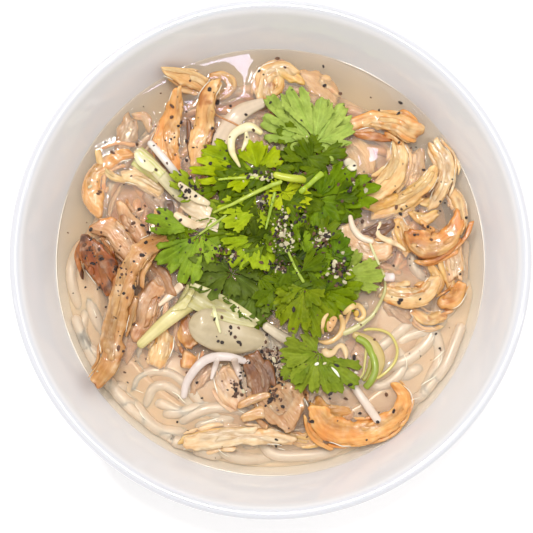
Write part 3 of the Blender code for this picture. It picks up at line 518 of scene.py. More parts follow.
def meat_strip(heap, line, at, low, high, look, seed, corners=14, relief=1.0, square=0.62):
    """One piece of torn meat: flat-topped, with ragged sides, slanting torn ends, cracks and fibres along it."""
    main, second, browned, share, fibrous = look
    rng = np.random.default_rng(seed)
    along = headings(line)
    total = at[-1]
    n = len(line)
    taper = end_taper(at, total, 1.5, 1.5)
    _, cu, cv = ring_shape(corners, square)
    half = line[:, 2] / 2
    sides = []
    for k in range(2):
        ragged = (
            1 + 0.15 * noise(at, 6.0, seed + 11 * k) + 0.11 * noise(at, 2.4, seed + 3 + 11 * k)
            + 0.03 * noise(at, 1.0, seed + 5 + 11 * k)
        )
        sides.append(half * ragged * (0.45 + 0.55 * taper))
    u = np.where(cu[None, :] > 0, sides[0][:, None], sides[1][:, None]) * cu[None, :]
    half_t = np.maximum(high - low, 1.0) / 2 * (0.25 + 0.75 * taper)
    v = half_t[:, None] * cv[None, :]
    reach = min(7.0, total * 0.3)
    slant = (rng.uniform(-0.9, 0.9), rng.uniform(-0.9, 0.9))
    jag = noise((u + 50).ravel(), 1.3, seed + 7).reshape(u.shape)
    shift = (
        (slant[0] * u + 0.9 * jag) * np.exp(-at / reach)[:, None]
        + (slant[1] * u + 1.1 * jag) * np.exp(-(total - at) / reach)[:, None]
    )
    tilt = 0.24 * noise(at, 10.0, seed + 8) + rng.uniform(-0.10, 0.10)
    x = line[:, None, 0] - along[:, None, 1] * u + along[:, None, 0] * shift
    y = line[:, None, 1] + along[:, None, 0] * u + along[:, None, 1] * shift
    z = ((low + high) / 2)[:, None] + v + tilt[:, None] * u
    s = np.repeat(at, corners)
    across = u.ravel()
    cosine, sine = np.tile(cu, n), np.tile(cv, n)
    flat = np.stack([x, y, z], axis=-1).reshape(-1, 3)
    wander = 0.9 * noise(s, 11.0, seed + 9)
    coarse = noise(np.stack([across + wander, s * 0.11, sine * 0.5], axis=1), 1.5, seed + 5)
    lumps = noise(flat, 3.2, seed + 6)
    pits = noise(flat, 1.2, seed + 14)
    rise = relief * (0.09 * fibrous * coarse + 0.34 * lumps + 0.06 * pits)
    crack = np.zeros_like(rise)
    width = max(half.max(), 0.5)
    for _ in range(int(np.clip(round(width * 0.55), 0, 4))):
        centre = rng.uniform(-0.75, 0.75) * width
        a, b = sorted(rng.uniform(-0.1, 1.1, 2) * total)
        window = 1 / (1 + np.exp(-(s - a) / 1.2)) / (1 + np.exp((s - b) / 1.2))
        crack = np.maximum(crack, np.exp(-(((across + wander - centre) / 0.42) ** 2)) * window)
    crack = crack * (sine > 0.0) * fibrous
    fade = np.repeat(0.3 + 0.7 * taper, corners)
    tx, ty = np.repeat(along[:, 0], corners), np.repeat(along[:, 1], corners)
    flat = flat + np.stack([-ty * cosine * 0.6, tx * cosine * 0.6, sine], axis=1) * (rise * fade)[:, None]
    flat[:, 2] -= crack * 0.40 * np.minimum(1, np.repeat(half_t, corners) / 1.5)
    patch = fbm(np.stack([s * 0.4, across, sine], axis=1), 4.2, 3, seed + 7)
    colour = blend(main, second, 0.5 + 1.2 * patch)
    # Painted shade: darker and browner where the relief sinks, in the hollows between lumps and fibres.
    colour = blend(
        colour, colour * np.array((0.80, 0.60, 0.40)),
        np.clip(-coarse * 0.8 - pits * 0.6 - lumps * 0.7, 0, 1) * 0.50
    )
    # Painted highlight: paler on the raised parts of the relief.
    colour = blend(
        colour, linear(255, 238, 208), np.clip(coarse * 0.6 + pits * 0.6 + lumps * 0.4 - 0.15, 0, 1) * 0.38
    )
    toast = fbm(np.stack([s * 0.7, across, sine * 2], axis=1), 3.8, 3, seed + 8)
    edge = np.clip(np.abs(cosine) - 0.6, 0, 1)
    colour = blend(colour, browned, np.clip((toast + edge * 0.35 + share - 0.46) * 3.4, 0, 0.85))
    # Painted shade along the cracks.
    colour = blend(colour, colour * np.array((0.70, 0.50, 0.34)), crack * 0.55)
    # Painted shade: darker on the lower sides, under the flat top.
    colour = blend(colour, colour * np.array((0.66, 0.44, 0.28)), np.clip(0.42 - sine, 0, 1) * 0.75)
    verts, quads, tris = capped(flat.reshape(n, corners, 3))
    colour = with_ends(colour)
    flow = np.stack([s * 0.24 + seed * 0.37, across + wander, sine * np.repeat(half_t, corners)], axis=1)
    heap.add(verts, quads, tris, colour, with_ends(flow))


def shred_bundle(heap, line, at, low, high, look, seed, relief=1.0, companions=0):
    """A torn shred: a slab with a few strips parting from it, and thinner scraps beside it."""
    main, second, browned, share, fibrous = look
    rng = np.random.default_rng(seed)
    total = at[-1]
    along = headings(line)
    width = line[:, 2]
    thick = np.maximum(high - low, 2.2)
    core = line.copy()
    core[:, 2] = width * 0.97
    meat_strip(heap, core, at, low, high, look, seed + 1, 30, relief)

    def beside(first, last, offset, own, top, depth, tone, key, corners):
        s = np.arange(first, last, 0.66)
        if len(s) < 6:
            return
        over = np.clip(s - total, 0, None) - np.clip(-s, 0, None)
        tx, ty, x, y = values_at(s, at, *along.T, line[:, 0], line[:, 1])
        u = offset(s)
        x = x + tx * over - ty * u
        y = y + ty * over + tx * u
        strip = np.stack([x, y, own * (1 + 0.25 * noise(s, 5.0, key))], axis=1)
        run = np.concatenate([[0], np.cumsum(np.hypot(*np.diff(strip[:, :2], axis=0).T))])
        mine = (main * tone, second * tone, browned, share + rng.uniform(-0.16, 0.1), fibrous)
        meat_strip(heap, strip, run, top(s) - depth, top(s), mine, key + 3, corners, relief * 0.7, 0.75)

    for k in range(int(np.clip(round(width.mean() / 3.6), 1, 3))):
        place = rng.uniform(-0.7, 0.7)
        first, last = sorted((rng.uniform(-1.2, total * 0.5), rng.uniform(total * 0.5, total + 1.4)))
        key = seed + 60 + 17 * k
        shift = rng.uniform(-0.12, 0.12)
        beside(
            first, last,
            lambda s: np.interp(s, at, width) / 2
            * (place + shift * (s - total / 2) / 10 + 0.12 * noise(s, 8.0, key)),
            max(1.2, width.mean() * rng.uniform(0.22, 0.42)),
            lambda s: np.interp(s, at, high) + rng.uniform(0.05, 0.30)
            - 0.25 * place * place * np.interp(s, at, thick) / 3,
            rng.uniform(1.0, 1.8), rng.uniform(0.94, 1.08), key, 14,
        )
    for k in range(companions):
        side = 1 if rng.random() < 0.5 else -1
        long = rng.uniform(6, 15)
        first = rng.uniform(-2, max(0.0, total - long + 2))
        gap = rng.uniform(-0.4, 1.3)
        lean = rng.uniform(-0.10, 0.16)
        key = seed + 400 + 23 * k
        own = rng.uniform(1.0, 2.6)
        sunk_by = rng.uniform(0.35, 0.75)
        beside(
            first, first + long,
            lambda s: side * (np.interp(s, at, width) / 2 + gap + lean * (s - first)) + 0.5 * noise(s, 7.0, key),
            own,
            lambda s: np.maximum(
                np.interp(s, at, high) - sunk_by * np.interp(s, at, thick),
                LEVEL - 0.2 + 0.6 * noise(s, 9.0, key + 1)
            ),
            rng.uniform(1.2, 2.0), rng.uniform(0.86, 1.08), key, 10,
        )


def fibrils(heap, line, at, low, high, look, seed, count):
    """Loose threads of meat that part from a shred's sides and ends."""
    main, second = look[0], look[1]
    along = headings(line)
    rng = np.random.default_rng(seed)
    total = at[-1]
    for _ in range(count):
        length = rng.uniform(3.5, 13)
        start = rng.uniform(0, max(1.0, total - length))
        s = np.linspace(start, start + length, 10)
        x, y, wide, tx, ty, zt, zb = values_at(s, at, *line.T, *along.T, high, low)
        half = wide / 2
        away = (
            rng.choice([-1, 1])
            * (half * rng.uniform(0.5, 0.92) + rng.uniform(0.1, 0.9) * np.linspace(0, 1, 10) ** 2)
        )
        x, y = x - ty * away, y + tx * away
        z = zb + (zt - zb) * rng.uniform(0.5, 0.8) + rng.uniform(-0.4, 0.3) * np.linspace(0, 1, 10)
        r = rng.uniform(0.22, 0.42) * np.clip(np.minimum(np.linspace(0.4, 6, 10), np.linspace(6, 0.25, 10)), 0, 1)
        path = np.stack([x, y, np.ones(10)], axis=1)
        rings, _ = tube(path, headings(path), z, r, r * 0.8, 5)
        verts, quads, tris = capped(rings)
        tone = blend(main, second, np.full(len(verts), rng.uniform(0, 1)))
        heap.add(verts, quads, tris, tone * rng.uniform(0.9, 1.1))


def build_chicken(material):
    made = []
    for name, (points, widths) in CHICKEN.items():
        seed = int(name[-2:]) * 31
        line, at = smooth_line(points, widths, SHRED_STEP)
        low, high = span_along(name, line)
        low, high = smoothed(low, 5), smoothed(high, 5)
        heap = Heap()
        look = tones(SHRED_LOOKS[name])
        shred_bundle(
            heap, line, at, low, high, look, seed,
            companions=0 if name in ("chicken_02", "chicken_03") else 2 + int(at[-1] / 14)
        )
        fibrils(heap, line, at, low, high, look, seed + 5, 8 + int(at[-1] / 5))
        piece = heap.build("shred_" + name[-2:], material)
        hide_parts(name)
        made.append(piece)
    return made


# ------------------------------------------------------------------ leaves


def lobe_sheet(hub, tip, half, seed, base_height, tone, lift):
    """One lobe of a coriander leaf: a fan cut into three, toothed round its end, ribbed and ruffled."""
    light, dark, amount = tone
    rng = np.random.default_rng(seed)
    dx, dy = tip[0] - hub[0], tip[1] - hub[1]
    length, axis = math.hypot(dx, dy), math.atan2(dy, dx)
    spread = float(np.clip(math.atan2(half * 1.0, length * 0.72), 0.22, 0.70))
    columns = int(np.clip(2 * spread * length / 0.42, 22, 58))
    rows = int(np.clip(length / 1.15, 9, 20))
    v = np.linspace(-1, 1, columns)
    share = np.linspace(0, 1, rows + 1) ** 0.9
    # The far edge: three parts, each ending in small pointed teeth.
    reach = 1 - 0.20 * np.abs(v) ** 2.2
    for side in (-1, 1):
        cut_at, deep = side * 0.42 + rng.uniform(-0.12, 0.12), rng.uniform(0.10, 0.36)
        reach = reach - deep * np.exp(-(((v - cut_at) / 0.10) ** 2))
    arc = v * spread * length
    pitch = rng.uniform(2.3, 3.4)
    phase = (arc / pitch + rng.uniform(0, 1) + 0.22 * noise(arc, 3.0, seed + 1)) % 1.0
    tooth = np.where(phase < 0.62, phase / 0.62, (1 - phase) / 0.38)
    reach = reach * length + (tooth - 0.62) * rng.uniform(1.1, 1.7)
    S, V = np.meshgrid(share, v, indexing="ij")
    side_phase = (S * length / 2.9 + rng.uniform(0, 1)) % 1.0
    side_tooth = np.where(side_phase < 0.7, side_phase / 0.7, (1 - side_phase) / 0.3)
    opening = 0.20 + 0.80 * np.clip((S - 0.04) / 0.52, 0, 1) ** 0.75
    angle = V * spread * opening * (1 + 0.16 * (side_tooth - 0.5) * np.abs(V) ** 3 * (S > 0.3))
    R = S * reach[None, :]
    bend = rng.uniform(-0.10, 0.10)
    x = hub[0] + R * np.cos(axis + angle + bend * S)
    y = hub[1] + R * np.sin(axis + angle + bend * S)
    z = base_height(x.ravel(), y.ravel()).reshape(x.shape)
    off = R * np.sin(angle)
    ahead = R * np.cos(angle)
    vein = np.exp(-((off / (0.20 + 0.014 * (length - ahead))) ** 2)) * (S < 0.93)
    side = np.zeros_like(vein)
    for aim in (-0.66, 0.66):
        start = 0.22
        run = np.clip((S - start) / (1 - start), 0, 1)
        centre = aim * spread * run**0.75
        side = np.maximum(side, np.exp(-(((angle - centre) * R / 0.30) ** 2)) * (S > start) * (S < 0.92))
    comb = np.abs(((ahead - np.abs(off) * 1.1) / 2.2) % 1.0 - 0.5) * 2
    fine = np.exp(-(((1 - comb) / 0.16) ** 2)) * (S > 0.25)
    ruffle = over_plan(noise, x, y, 3.6, seed + 2)
    crimp = over_plan(noise, x, y, 1.5, seed + 3)
    curl = rng.uniform(-2.4, 2.4)
    roll = rng.uniform(-0.22, 0.22)
    z = z + lift * np.clip(S * 2.5, 0, 1) + curl * S**2 * 0.8 + roll * off + np.abs(off) * rng.uniform(-0.16, 0.30)
    z = z + ruffle * S**1.5 * 1.25 + crimp * S * 0.30 - vein * 0.24 - side * 0.11 - fine * 0.04
    z = np.maximum(z, LEVEL + 0.12 + 0.1 * (1 - S))
    z = np.minimum(z, LEAF_CEILING)
    own = rng.uniform(-0.45, 0.45)
    blotch = over_plan(fbm, x, y, 4.6, 3, seed + 4)
    grain = over_plan(noise, x, y, 0.8, seed + 5)
    # Painted light and shade: lighter or darker by the slope across the lobe.
    slope_shading = np.gradient(z, axis=1)
    # Random patches of the dark colour, and painted shade that darkens each lobe towards the hub and lightens it
    # towards the tip.
    colour = blend(light, dark, (amount * (0.5 + own + 1.0 * blotch) + 0.25 * (0.6 - S)).ravel())
    colour = np.clip(colour * np.array((1.10, 0.96, 0.9)), 0, 1)
    colour = colour * (1 + 0.10 * grain + np.clip(slope_shading * 0.4, -0.08, 0.08)).ravel()[:, None]
    pale = np.minimum(light * 1.35 + np.array((0.05, 0.06, 0.01)), 1.0)
    colour = blend(colour, pale, np.clip(vein * 0.32 + side * 0.13 + fine * 0.04, 0, 1).ravel())
    quads = grid_faces(rows + 1, columns, close_cols=False)
    return np.stack([x, y, z], axis=-1).reshape(-1, 3), quads, None, colour


# Each leaf: light colour, dark colour, how much of the dark one.
LEAF_TONES = {
    "leaf_01": ((166, 196, 96), (110, 146, 50), 0.55), "leaf_02": ((158, 184, 14), (92, 126, 4), 0.6),
    "leaf_03": ((110, 144, 12), (66, 100, 6), 0.6), "leaf_04": ((178, 198, 30), (126, 156, 10), 0.4),
    "leaf_05": ((138, 172, 50), (84, 120, 20), 0.6), "leaf_06": ((148, 174, 44), (90, 122, 16), 0.5),
    "leaf_07": ((160, 188, 34), (110, 146, 12), 0.4), "leaf_08": ((150, 180, 30), (90, 128, 10), 0.5),
    "leaf_09": ((94, 116, 40), (46, 68, 14), 0.6), "leaf_10": ((98, 122, 44), (58, 84, 20), 0.5),
    "leaf_11": ((122, 144, 22), (74, 104, 6), 0.5), "leaf_12": ((116, 144, 6), (74, 106, 2), 0.4),
    "leaf_13": ((150, 176, 76), (108, 138, 42), 0.5), "leaf_14": ((128, 152, 44), (80, 112, 20), 0.5),
    "leaf_15": ((116, 150, 22), (56, 90, 6), 0.6), "leaf_16": ((102, 138, 20), (52, 86, 4), 0.6),
}

# Lobes that fill in beneath the leaves, painted darker greens as the shade under them: hub, tip, half width, height
# over the broth.
UNDER_LOBES = (
    ((-8, 36), (-20, 41), 6, 3.4), ((2, 40), (8, 33), 6, 3.0), ((14, 44), (24, 36), 7, 2.6),
    ((14, 40), (6, 47), 6, 2.4), ((22, 38), (12, 33), 6, 3.2), ((-14, 30), (-26, 33), 5, 3.0),
    ((-22, 16), (-34, 24), 6, 3.0), ((-12, 12), (-26, 4), 6, 3.6), ((-2, 6), (-12, -4), 6, 3.4),
    ((6, 22), (18, 26), 6, 4.2), ((8, 8), (-2, 14), 5, 3.8), ((18, 6), (28, 16), 6, 3.8),
    ((8, -2), (2, -12), 6, 3.6), ((12, -6), (22, 2), 6, 4.0), ((-20, -2), (-32, 4), 6, 2.8),
    ((-10, -20), (-2, -28), 5, 2.6), ((22, -14), (30, -6), 5, 3.6), ((10, 28), (22, 22), 6, 4.6),
    ((-4, 28), (-16, 22), 5, 4.2), ((26, 24), (36, 30), 6, 3.6), ((2, 0), (10, 10), 5, 4.0),
    ((14, 48), (4, 56), 6, 2.6), ((20, 44), (32, 44), 6, 2.8), ((-30, 28), (-38, 32), 3.5, 2.6),
    ((4, 18), (2, 4), 7, 2.2), ((10, 14), (0, 4), 6, 3.0), ((-2, -2), (12, -10), 6, 2.6),
    ((16, -8), (4, -4), 6, 2.4), ((0, 40), (-10, 30), 6, 2.0), ((-24, 24), (-14, 18), 6, 2.2),
    ((14, -4), (26, -12), 6, 3.2), ((-4, -10), (8, -4), 6, 2.2), ((14, 46), (22, 50), 6, 1.6),
    ((20, 46), (12, 38), 6, 1.6), ((12, 44), (10, 36), 6, 1.6), ((-12, 30), (-22, 28), 5, 1.8),
    ((-14, 26), (-8, 34), 5, 1.8), ((-6, -6), (2, -14), 6, 1.8), ((6, -8), (-6, -12), 6, 1.8),
    ((10, -12), (20, -10), 6, 1.8), ((16, -14), (8, -16), 5, 1.8), ((-36, 12), (-46, 10), 5, 1.6),
    ((-38, 14), (-34, 8), 5, 1.6), ((30, 22), (38, 18), 5, 1.6), ((28, 14), (34, 22), 5, 1.6),
    ((24, 34), (16, 42), 6, 1.6), ((8, -14), (16, -4), 6, 1.8), ((-14, -12), (-6, -20), 5, 1.6),
    ((-22, 18), (-14, 30), 5, 1.8), ((2, 36), (-6, 28), 6, 1.6), ((30, 2), (24, 10), 5, 1.8),
    ((-28, 2), (-20, 10), 6, 1.6), ((-8, 14), (-20, 10), 6, 2.4), ((2, -12), (-6, -20), 6, 2.4),
    ((4, 26), (12, 16), 6, 3.0), ((-20, 30), (-30, 26), 4, 2.2), ((-2, 20), (8, 14), 5, 3.6),
    ((18, 40), (12, 50), 5, 2.0), ((2, 46), (14, 40), 6, 1.8),
)


def leaf_height(node):
    """A smooth height over the plan from the corners of a leaf's solid."""
    _, pts = tree_of(NODES[node])
    keys = {}
    for x, y, z in pts.tolist():
        key = (round(x, 2), round(y, 2))
        keys[key] = max(keys.get(key, -1e9), z)
    flat = np.array([(x, y, z) for (x, y), z in keys.items()])

    def height(x, y):
        d2 = (x[:, None] - flat[None, :, 0]) ** 2 + (y[:, None] - flat[None, :, 1]) ** 2 + 1.2
        w = 1 / d2**1.6
        return (w * flat[None, :, 2]).sum(axis=1) / w.sum(axis=1)

    return height


def thicken(piece):
    """Gives a sheet of leaf its thickness."""
    skin = piece.modifiers.new("thick", "SOLIDIFY")
    skin.thickness = LEAF_THICKNESS
    skin.offset = -1.0


def build_leaves(material):
    made = []
    for name, (hub, lobes) in LEAVES.items():
        seed = int(name[-2:]) * 53
        rng = np.random.default_rng(seed)
        heap = Heap()
        height = leaf_height(name)
        for k, i in enumerate(rng.permutation(len(lobes))):
            tx, ty, half = lobes[i]
            lift = 0.25 * k / len(lobes) + rng.uniform(0, 0.35)
            heap.add(
                *lobe_sheet(hub, (tx, ty), half * 1.2, seed + 7 * int(i), height, tones(LEAF_TONES[name]), lift)
            )
        piece = heap.build("coriander_" + name[-2:], material)
        thicken(piece)
        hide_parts(name)
        made.append(piece)
    heap = Heap()

    def add_under(hub, tip, half, seed, over, tone):
        heap.add(*lobe_sheet(hub, tip, half, seed, lambda x, y: np.full(len(x), LEVEL + over), tone, 0.0))

    # Painted shade: the under lobes take darker greens than the leaves.
    for k, (hub, tip, half, over) in enumerate(UNDER_LOBES):
        add_under(hub, tip, half, 4000 + 13 * k, over, (linear(96, 122, 6), linear(46, 76, 0), 0.6))
    # A low layer of small lobes in dark greens, as painted shade deep in the pile, so nothing pale shows through
    # it.
    rng = np.random.default_rng(909)
    for k in range(LOW_LOBES):
        a, r = rng.uniform(0, 2 * math.pi), LOW_REACH * math.sqrt(rng.random())
        hub = (1.5 + r * math.cos(a), 16 + r * 1.05 * math.sin(a))
        b, long = rng.uniform(0, 2 * math.pi), rng.uniform(7, 11)
        tip = (hub[0] + long * math.cos(b), hub[1] + long * math.sin(b))
        if math.hypot((tip[0] - 2) / 26, (tip[1] - 15) / 26) > 1:
            continue
        over = rng.uniform(1.0, 2.6)
        add_under(hub, tip, 6.0, 6000 + 13 * k, over, (linear(84, 104, 10), linear(36, 58, 0), 0.7))
    under = heap.build("coriander_under", material)
    thicken(under)
    return made + [under]


# ------------------------------------------------------------------ stalks, sprouts and onion

# Each stalk: main colour, second colour, how strong its ribs are.
STALK_LOOKS = {
    "sprout_01": ((232, 220, 208), (238, 232, 222), 0.2), "stalk_01": ((234, 222, 184), (218, 204, 146), 0.6),
    "onion_01": ((226, 206, 180), (212, 190, 160), 0.5), "stem_01": ((206, 200, 150), (190, 176, 120), 0.4),
    "stem_02": ((206, 212, 70), (176, 190, 44), 0.3), "stalk_02": ((230, 216, 154), (208, 196, 124), 0.8),
    "sprout_02": ((232, 220, 212), (222, 206, 194), 0.2), "sprout_03": ((236, 222, 194), (222, 204, 170), 0.4),
    "sprout_04": ((238, 224, 208), (226, 206, 186), 0.2), "scallion_01": ((206, 178, 116), (186, 164, 88), 0.4),
}


def stalk_body(line, at, low, high, look, seed, corners=18, ends=(1.6, 1.6)):
    """A juicy stalk with fine lengthwise ribs."""
    main, second, ribs = look
    along = headings(line)
    taper = end_taper(at, at[-1], *ends)
    half_w = line[:, 2] / 2 * taper * (1 + 0.04 * noise(at, 6, seed))
    half_t = np.maximum(high - low, 1.0) / 2 * taper
    rings, turn = tube(line, along, (low + high) / 2, half_w, half_t, corners, 0.95)
    n = len(line)
    s = np.repeat(at, corners)
    around = np.tile(turn, n)
    rib = np.cos(around * 9 + 0.4 * np.repeat(noise(at, 9, seed + 1), corners))
    flat = rings.reshape(-1, 3)
    centre = np.repeat(rings.mean(axis=1), corners, axis=0)
    flat = flat + (flat - centre) * (0.045 * ribs * rib)[:, None]
    tone = fbm(np.stack([s * 0.35, np.sin(around) * 2, np.cos(around) * 2], axis=1), 3.0, 2, seed + 2)
    colour = blend(main, second, 0.5 + 0.7 * tone)
    colour = colour * (1 + 0.07 * ribs * rib)[:, None]
    verts, quads, tris = capped(flat.reshape(n, corners, 3))
    colour = with_ends(colour)
    return verts, quads, tris, colour


def build_stalks(material):
    made = []
    for name, (points, widths) in STALKS.items():
        seed = sum(map(ord, name))
        line, at = smooth_line(points, widths, STALK_STEP)
        low, high = span_along(name, line)
        low, high = smoothed(low, 6), smoothed(high, 6)
        verts, quads, tris, colour = stalk_body(line, at, low, high, tones(STALK_LOOKS[name]), seed)
        piece = make_mesh(name + "_fine", verts, quads, tris, colour, material)
        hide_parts(name)
        made.append(piece)
    return made


def build_wedge(material):
    """The thick wedge of onion: a bulging sheaf of pale layers, blunt on the left and narrow on the right."""
    x0, y0, heading, length, width = -17.0, -30.5, math.radians(-14.0), 34.0, 18.0
    ends = np.array((math.cos(heading), math.sin(heading))) * length / 2
    points = [(x0 - ends[0], y0 - ends[1]), (x0, y0), (x0 + ends[0], y0 + ends[1])]
    line, at = smooth_line(points, (width * 0.62, width, width * 0.30), STALK_STEP)
    low, high = span_along("onion_wedge", line)
    low, high = smoothed(low, 8), smoothed(high, 8)
    along = headings(line)
    corners = 48
    taper = end_taper(at, at[-1], 6.0, 4.0)
    half_t = (high - low) / 2 * (0.3 + 0.7 * taper)
    rings, turn = tube(line, along, (low + high) / 2, line[:, 2] / 2 * taper, half_t, corners)
    n = len(line)
    flat = rings.reshape(-1, 3)
    s = np.repeat(at, corners)
    around = np.tile(turn, n)
    layer = np.cos(around * 4.0 + 0.8 + 0.5 * np.sin(s * 0.09))
    step = 1 / (1 + np.exp(-layer * 7)) - 0.5
    centre = np.repeat(rings.mean(axis=1), corners, axis=0)
    flat = flat + (flat - centre) * (0.035 * step)[:, None]
    veins = np.cos(around * 38 + 2.0 * np.repeat(noise(at, 14, 5), corners))
    tone = fbm(np.stack([s * 0.25, np.sin(around) * 3, np.cos(around) * 3], axis=1), 2.4, 3, 9)
    colour = blend(linear(210, 194, 160), linear(182, 164, 124), 0.5 + 0.6 * tone)
    colour = colour * (1 + 0.028 * veins + 0.05 * step)[:, None]
    # Painted shade: darker olive over the lower half.
    colour = blend(colour, linear(168, 150, 108), np.clip(-np.sin(around) - 0.1, 0, 1) * 0.8)
    verts, quads, tris = capped(flat.reshape(n, corners, 3))
    colour = with_ends(colour)
    piece = make_mesh("onion_wedge_fine", verts, quads, tris, colour, material)
    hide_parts("onion_wedge")
    return piece


# ------------------------------------------------------------------ the bowl

# The inside of the bowl: distance from the axis, height.
INNER = (
    (0.0, 9.6), (28.0, 10.8), (50.0, 16.4), (66.0, 26.0), (78.0, 38.5), (87.0, 52.0), (94.2, 66.0), (99.6, 75.4),
)


def inner_height(radius):
    """Height of the bowl's inside at this distance from the axis."""
    return np.interp(radius, [p[0] for p in INNER], [p[1] for p in INNER])


def inner_radius(height):
    """Distance of the bowl's inside from the axis at this height."""
    return np.interp(height, [p[1] for p in INNER], [p[0] for p in INNER])


def glaze_material():
    """White glaze, faintly clouded, with shallow dimples."""
    made, tree, shader = nodes_of("white_glaze")
    place = add_node(tree, "TexCoord").outputs["Object"]
    cloud = add_node(tree, "TexNoise", Scale=30.0, Detail=3.0)
    tree.links.new(place, cloud.inputs["Vector"])
    ramp = add_node(tree, "ValToRGB")
    stops = ((0.3, (0.79, 0.785, 0.785, 1)), (0.7, (0.81, 0.805, 0.81, 1)))
    for stop, (at, colour) in zip(ramp.color_ramp.elements, stops):
        stop.position, stop.color = at, colour
    link(tree, cloud, "Fac", ramp, "Fac")
    # Over the lip the colour is painted darker and cooler: painted shade with a painted bluish reflection.
    split = add_node(tree, "SeparateXYZ")
    tree.links.new(place, split.inputs["Vector"])
    height = add_node(tree, "MapRange", From_Min=0.0764, From_Max=0.0774)
    link(tree, split, "Z", height, "Value")
    lip_painted_shade = add_node(tree, "MixRGB", Color2=(0.70, 0.715, 0.75, 1))
    link(tree, height, "Result", lip_painted_shade, "Fac")
    link(tree, ramp, "Color", lip_painted_shade, "Color1")
    link(tree, lip_painted_shade, "Color", shader, "Base Color")
    add_bump(tree, shader, place, 120.0, 0.04, 0.0005, 2.0)
    set_inputs(shader, Roughness=0.10, Coat_Weight=0.5, Coat_Roughness=0.03)
    return made


def build_bowl():
    """A smooth turned bowl in the place of the faceted solid."""
    lip = ((101.3, 77.4), (102.2, 77.75), (103.2, 77.8), (104.2, 77.5), (104.8, 76.8), (105.0, 75.9))
    outer = ((103.6, 71.8), (98.6, 61.6), (90.4, 45.8), (77.6, 28.6), (60.0, 14.8), (46.5, 8.6))
    foot = (
        (44.3, 7.2), (43.7, 5.0), (43.5, 1.6), (43.2, 0.6), (42.5, 0.05), (41.8, 0.0), (39.8, 0.0), (39.2, 0.05),
        (38.5, 0.6), (38.1, 2.0), (37.8, 4.4), (37.2, 4.9), (36.0, 5.0), (20.0, 5.0), (0.0, 5.0),
    )

    def rounded(points, steps):
        return curve_through([np.array(p) for p in points], steps)

    profile = rounded(INNER, 6) + rounded(lip, 3) + rounded(outer, 6) + [np.array(p) for p in foot]
    profile = np.array(profile)
    profile[:, 0] = np.clip(profile[:, 0], 0, RIM_RADIUS)
    profile[:, 1] = np.clip(profile[:, 1], 0, RIM_HEIGHT)
    keep = profile[:, 0] > 0.01
    middle_top, middle_low = profile[0], profile[-1]
    profile = profile[keep]
    segments = BOWL_SEGMENTS
    turn = np.linspace(0, 2 * math.pi, segments, endpoint=False)
    x = profile[:, None, 0] * np.cos(turn)
    y = profile[:, None, 0] * np.sin(turn)
    z = np.repeat(profile[:, None, 1], segments, axis=1)
    verts = np.stack([x, y, z], axis=-1).reshape(-1, 3)
    rows = len(profile)
    quads = grid_faces(rows, segments)
    verts = np.concatenate([verts, [(0, 0, middle_top[1])], [(0, 0, middle_low[1])]])
    k = np.arange(segments)
    n = (k + 1) % segments
    tris = np.concatenate(
        [
            np.stack([n, np.full(segments, len(verts) - 2), k], axis=1)[:, ::-1],
            np.stack(
                [(rows - 1) * segments + k, (rows - 1) * segments + n, np.full(segments, len(verts) - 1)], axis=1
            )[:, ::-1],
        ]
    )
    piece = make_mesh("bowl_glazed", verts, quads[:, ::-1], tris, None, glaze_material())
    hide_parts("bowl")


# ------------------------------------------------------------------ noodles

# The height field that the strands lie on: cell, half of its side, cells to a side.
GRID = 0.8
HALF = 96.0
SIZE = int(2 * HALF / GRID) + 1


def cells(v):
    """Cells of the height field that hold these places."""
    return np.clip(np.round((np.asarray(v) + HALF) / GRID).astype(int), 0, SIZE - 1)


# Strands that show, each by its waypoints.
NOODLES_SHOWN = (
    ((-74, 13), (-81, 4), (-83, -7), (-80, -17), (-75, -27), (-73, -36)),
    ((-72, 5), (-77, -4), (-76, -15), (-71, -28)), ((-83, -30), (-77, -36), (-71, -40), (-66, -48)),
    ((-77, -22), (-79, -31), (-76, -40), (-70, -47)),
    ((-68, -52.5), (-58, -54), (-48, -58), (-34, -64), (-22, -64)),
    ((-67, -56), (-59, -60), (-50, -63), (-38, -64), (-26, -60)),
    ((-56, -53), (-54, -48.5), (-47.5, -46), (-40, -48.5), (-33.6, -54), (-27, -62), (-20, -66)),
    ((-51, -58), (-49, -53), (-44, -52), (-38, -56), (-32, -62)),
    ((-41, -75), (-36, -67), (-25, -62), (-14, -62), (-6, -66)), ((-39, -77), (-34, -70.5), (-24, -67), (-15, -65)),
    ((-62, -58), (-54, -66), (-47, -72), (-40, -77)), ((-56, -60), (-50, -67), (-44, -71), (-36, -72)),
    ((-27, -82), (-18, -79), (-8, -76), (2, -77), (12, -80)), ((-22, -74), (-20, -79), (-12, -82.5), (0, -82)),
    ((-3, -75), (2, -80), (12, -81.5), (23, -80), (31, -75), (36, -68)),
    ((14, -76), (22, -75.5), (30, -72), (36, -66)), ((-36, -79), (-26, -77), (-16, -73), (-4, -74)),
    ((41, -40), (50, -33), (59, -24), (62, -15)), ((49, -39), (58, -32), (69, -28), (76, -20)),
    ((36, -50), (46, -52), (53, -48.5), (56, -43), (53, -36)), ((56, -49), (65, -43), (72, -37), (76, -28)),
    ((57, -56), (67, -50), (74, -43), (79, -34)), ((44, -60), (54, -60), (63, -57), (70, -52)),
    ((62, -22), (68, -31), (70, -41), (66, -50)), ((64, -8), (60, -2), (61, 6), (66, 12)),
    ((82, 2), (81, -10), (76, -20), (68, -27)), ((47, -45), (58, -41), (66, -34), (70, -24)),
)


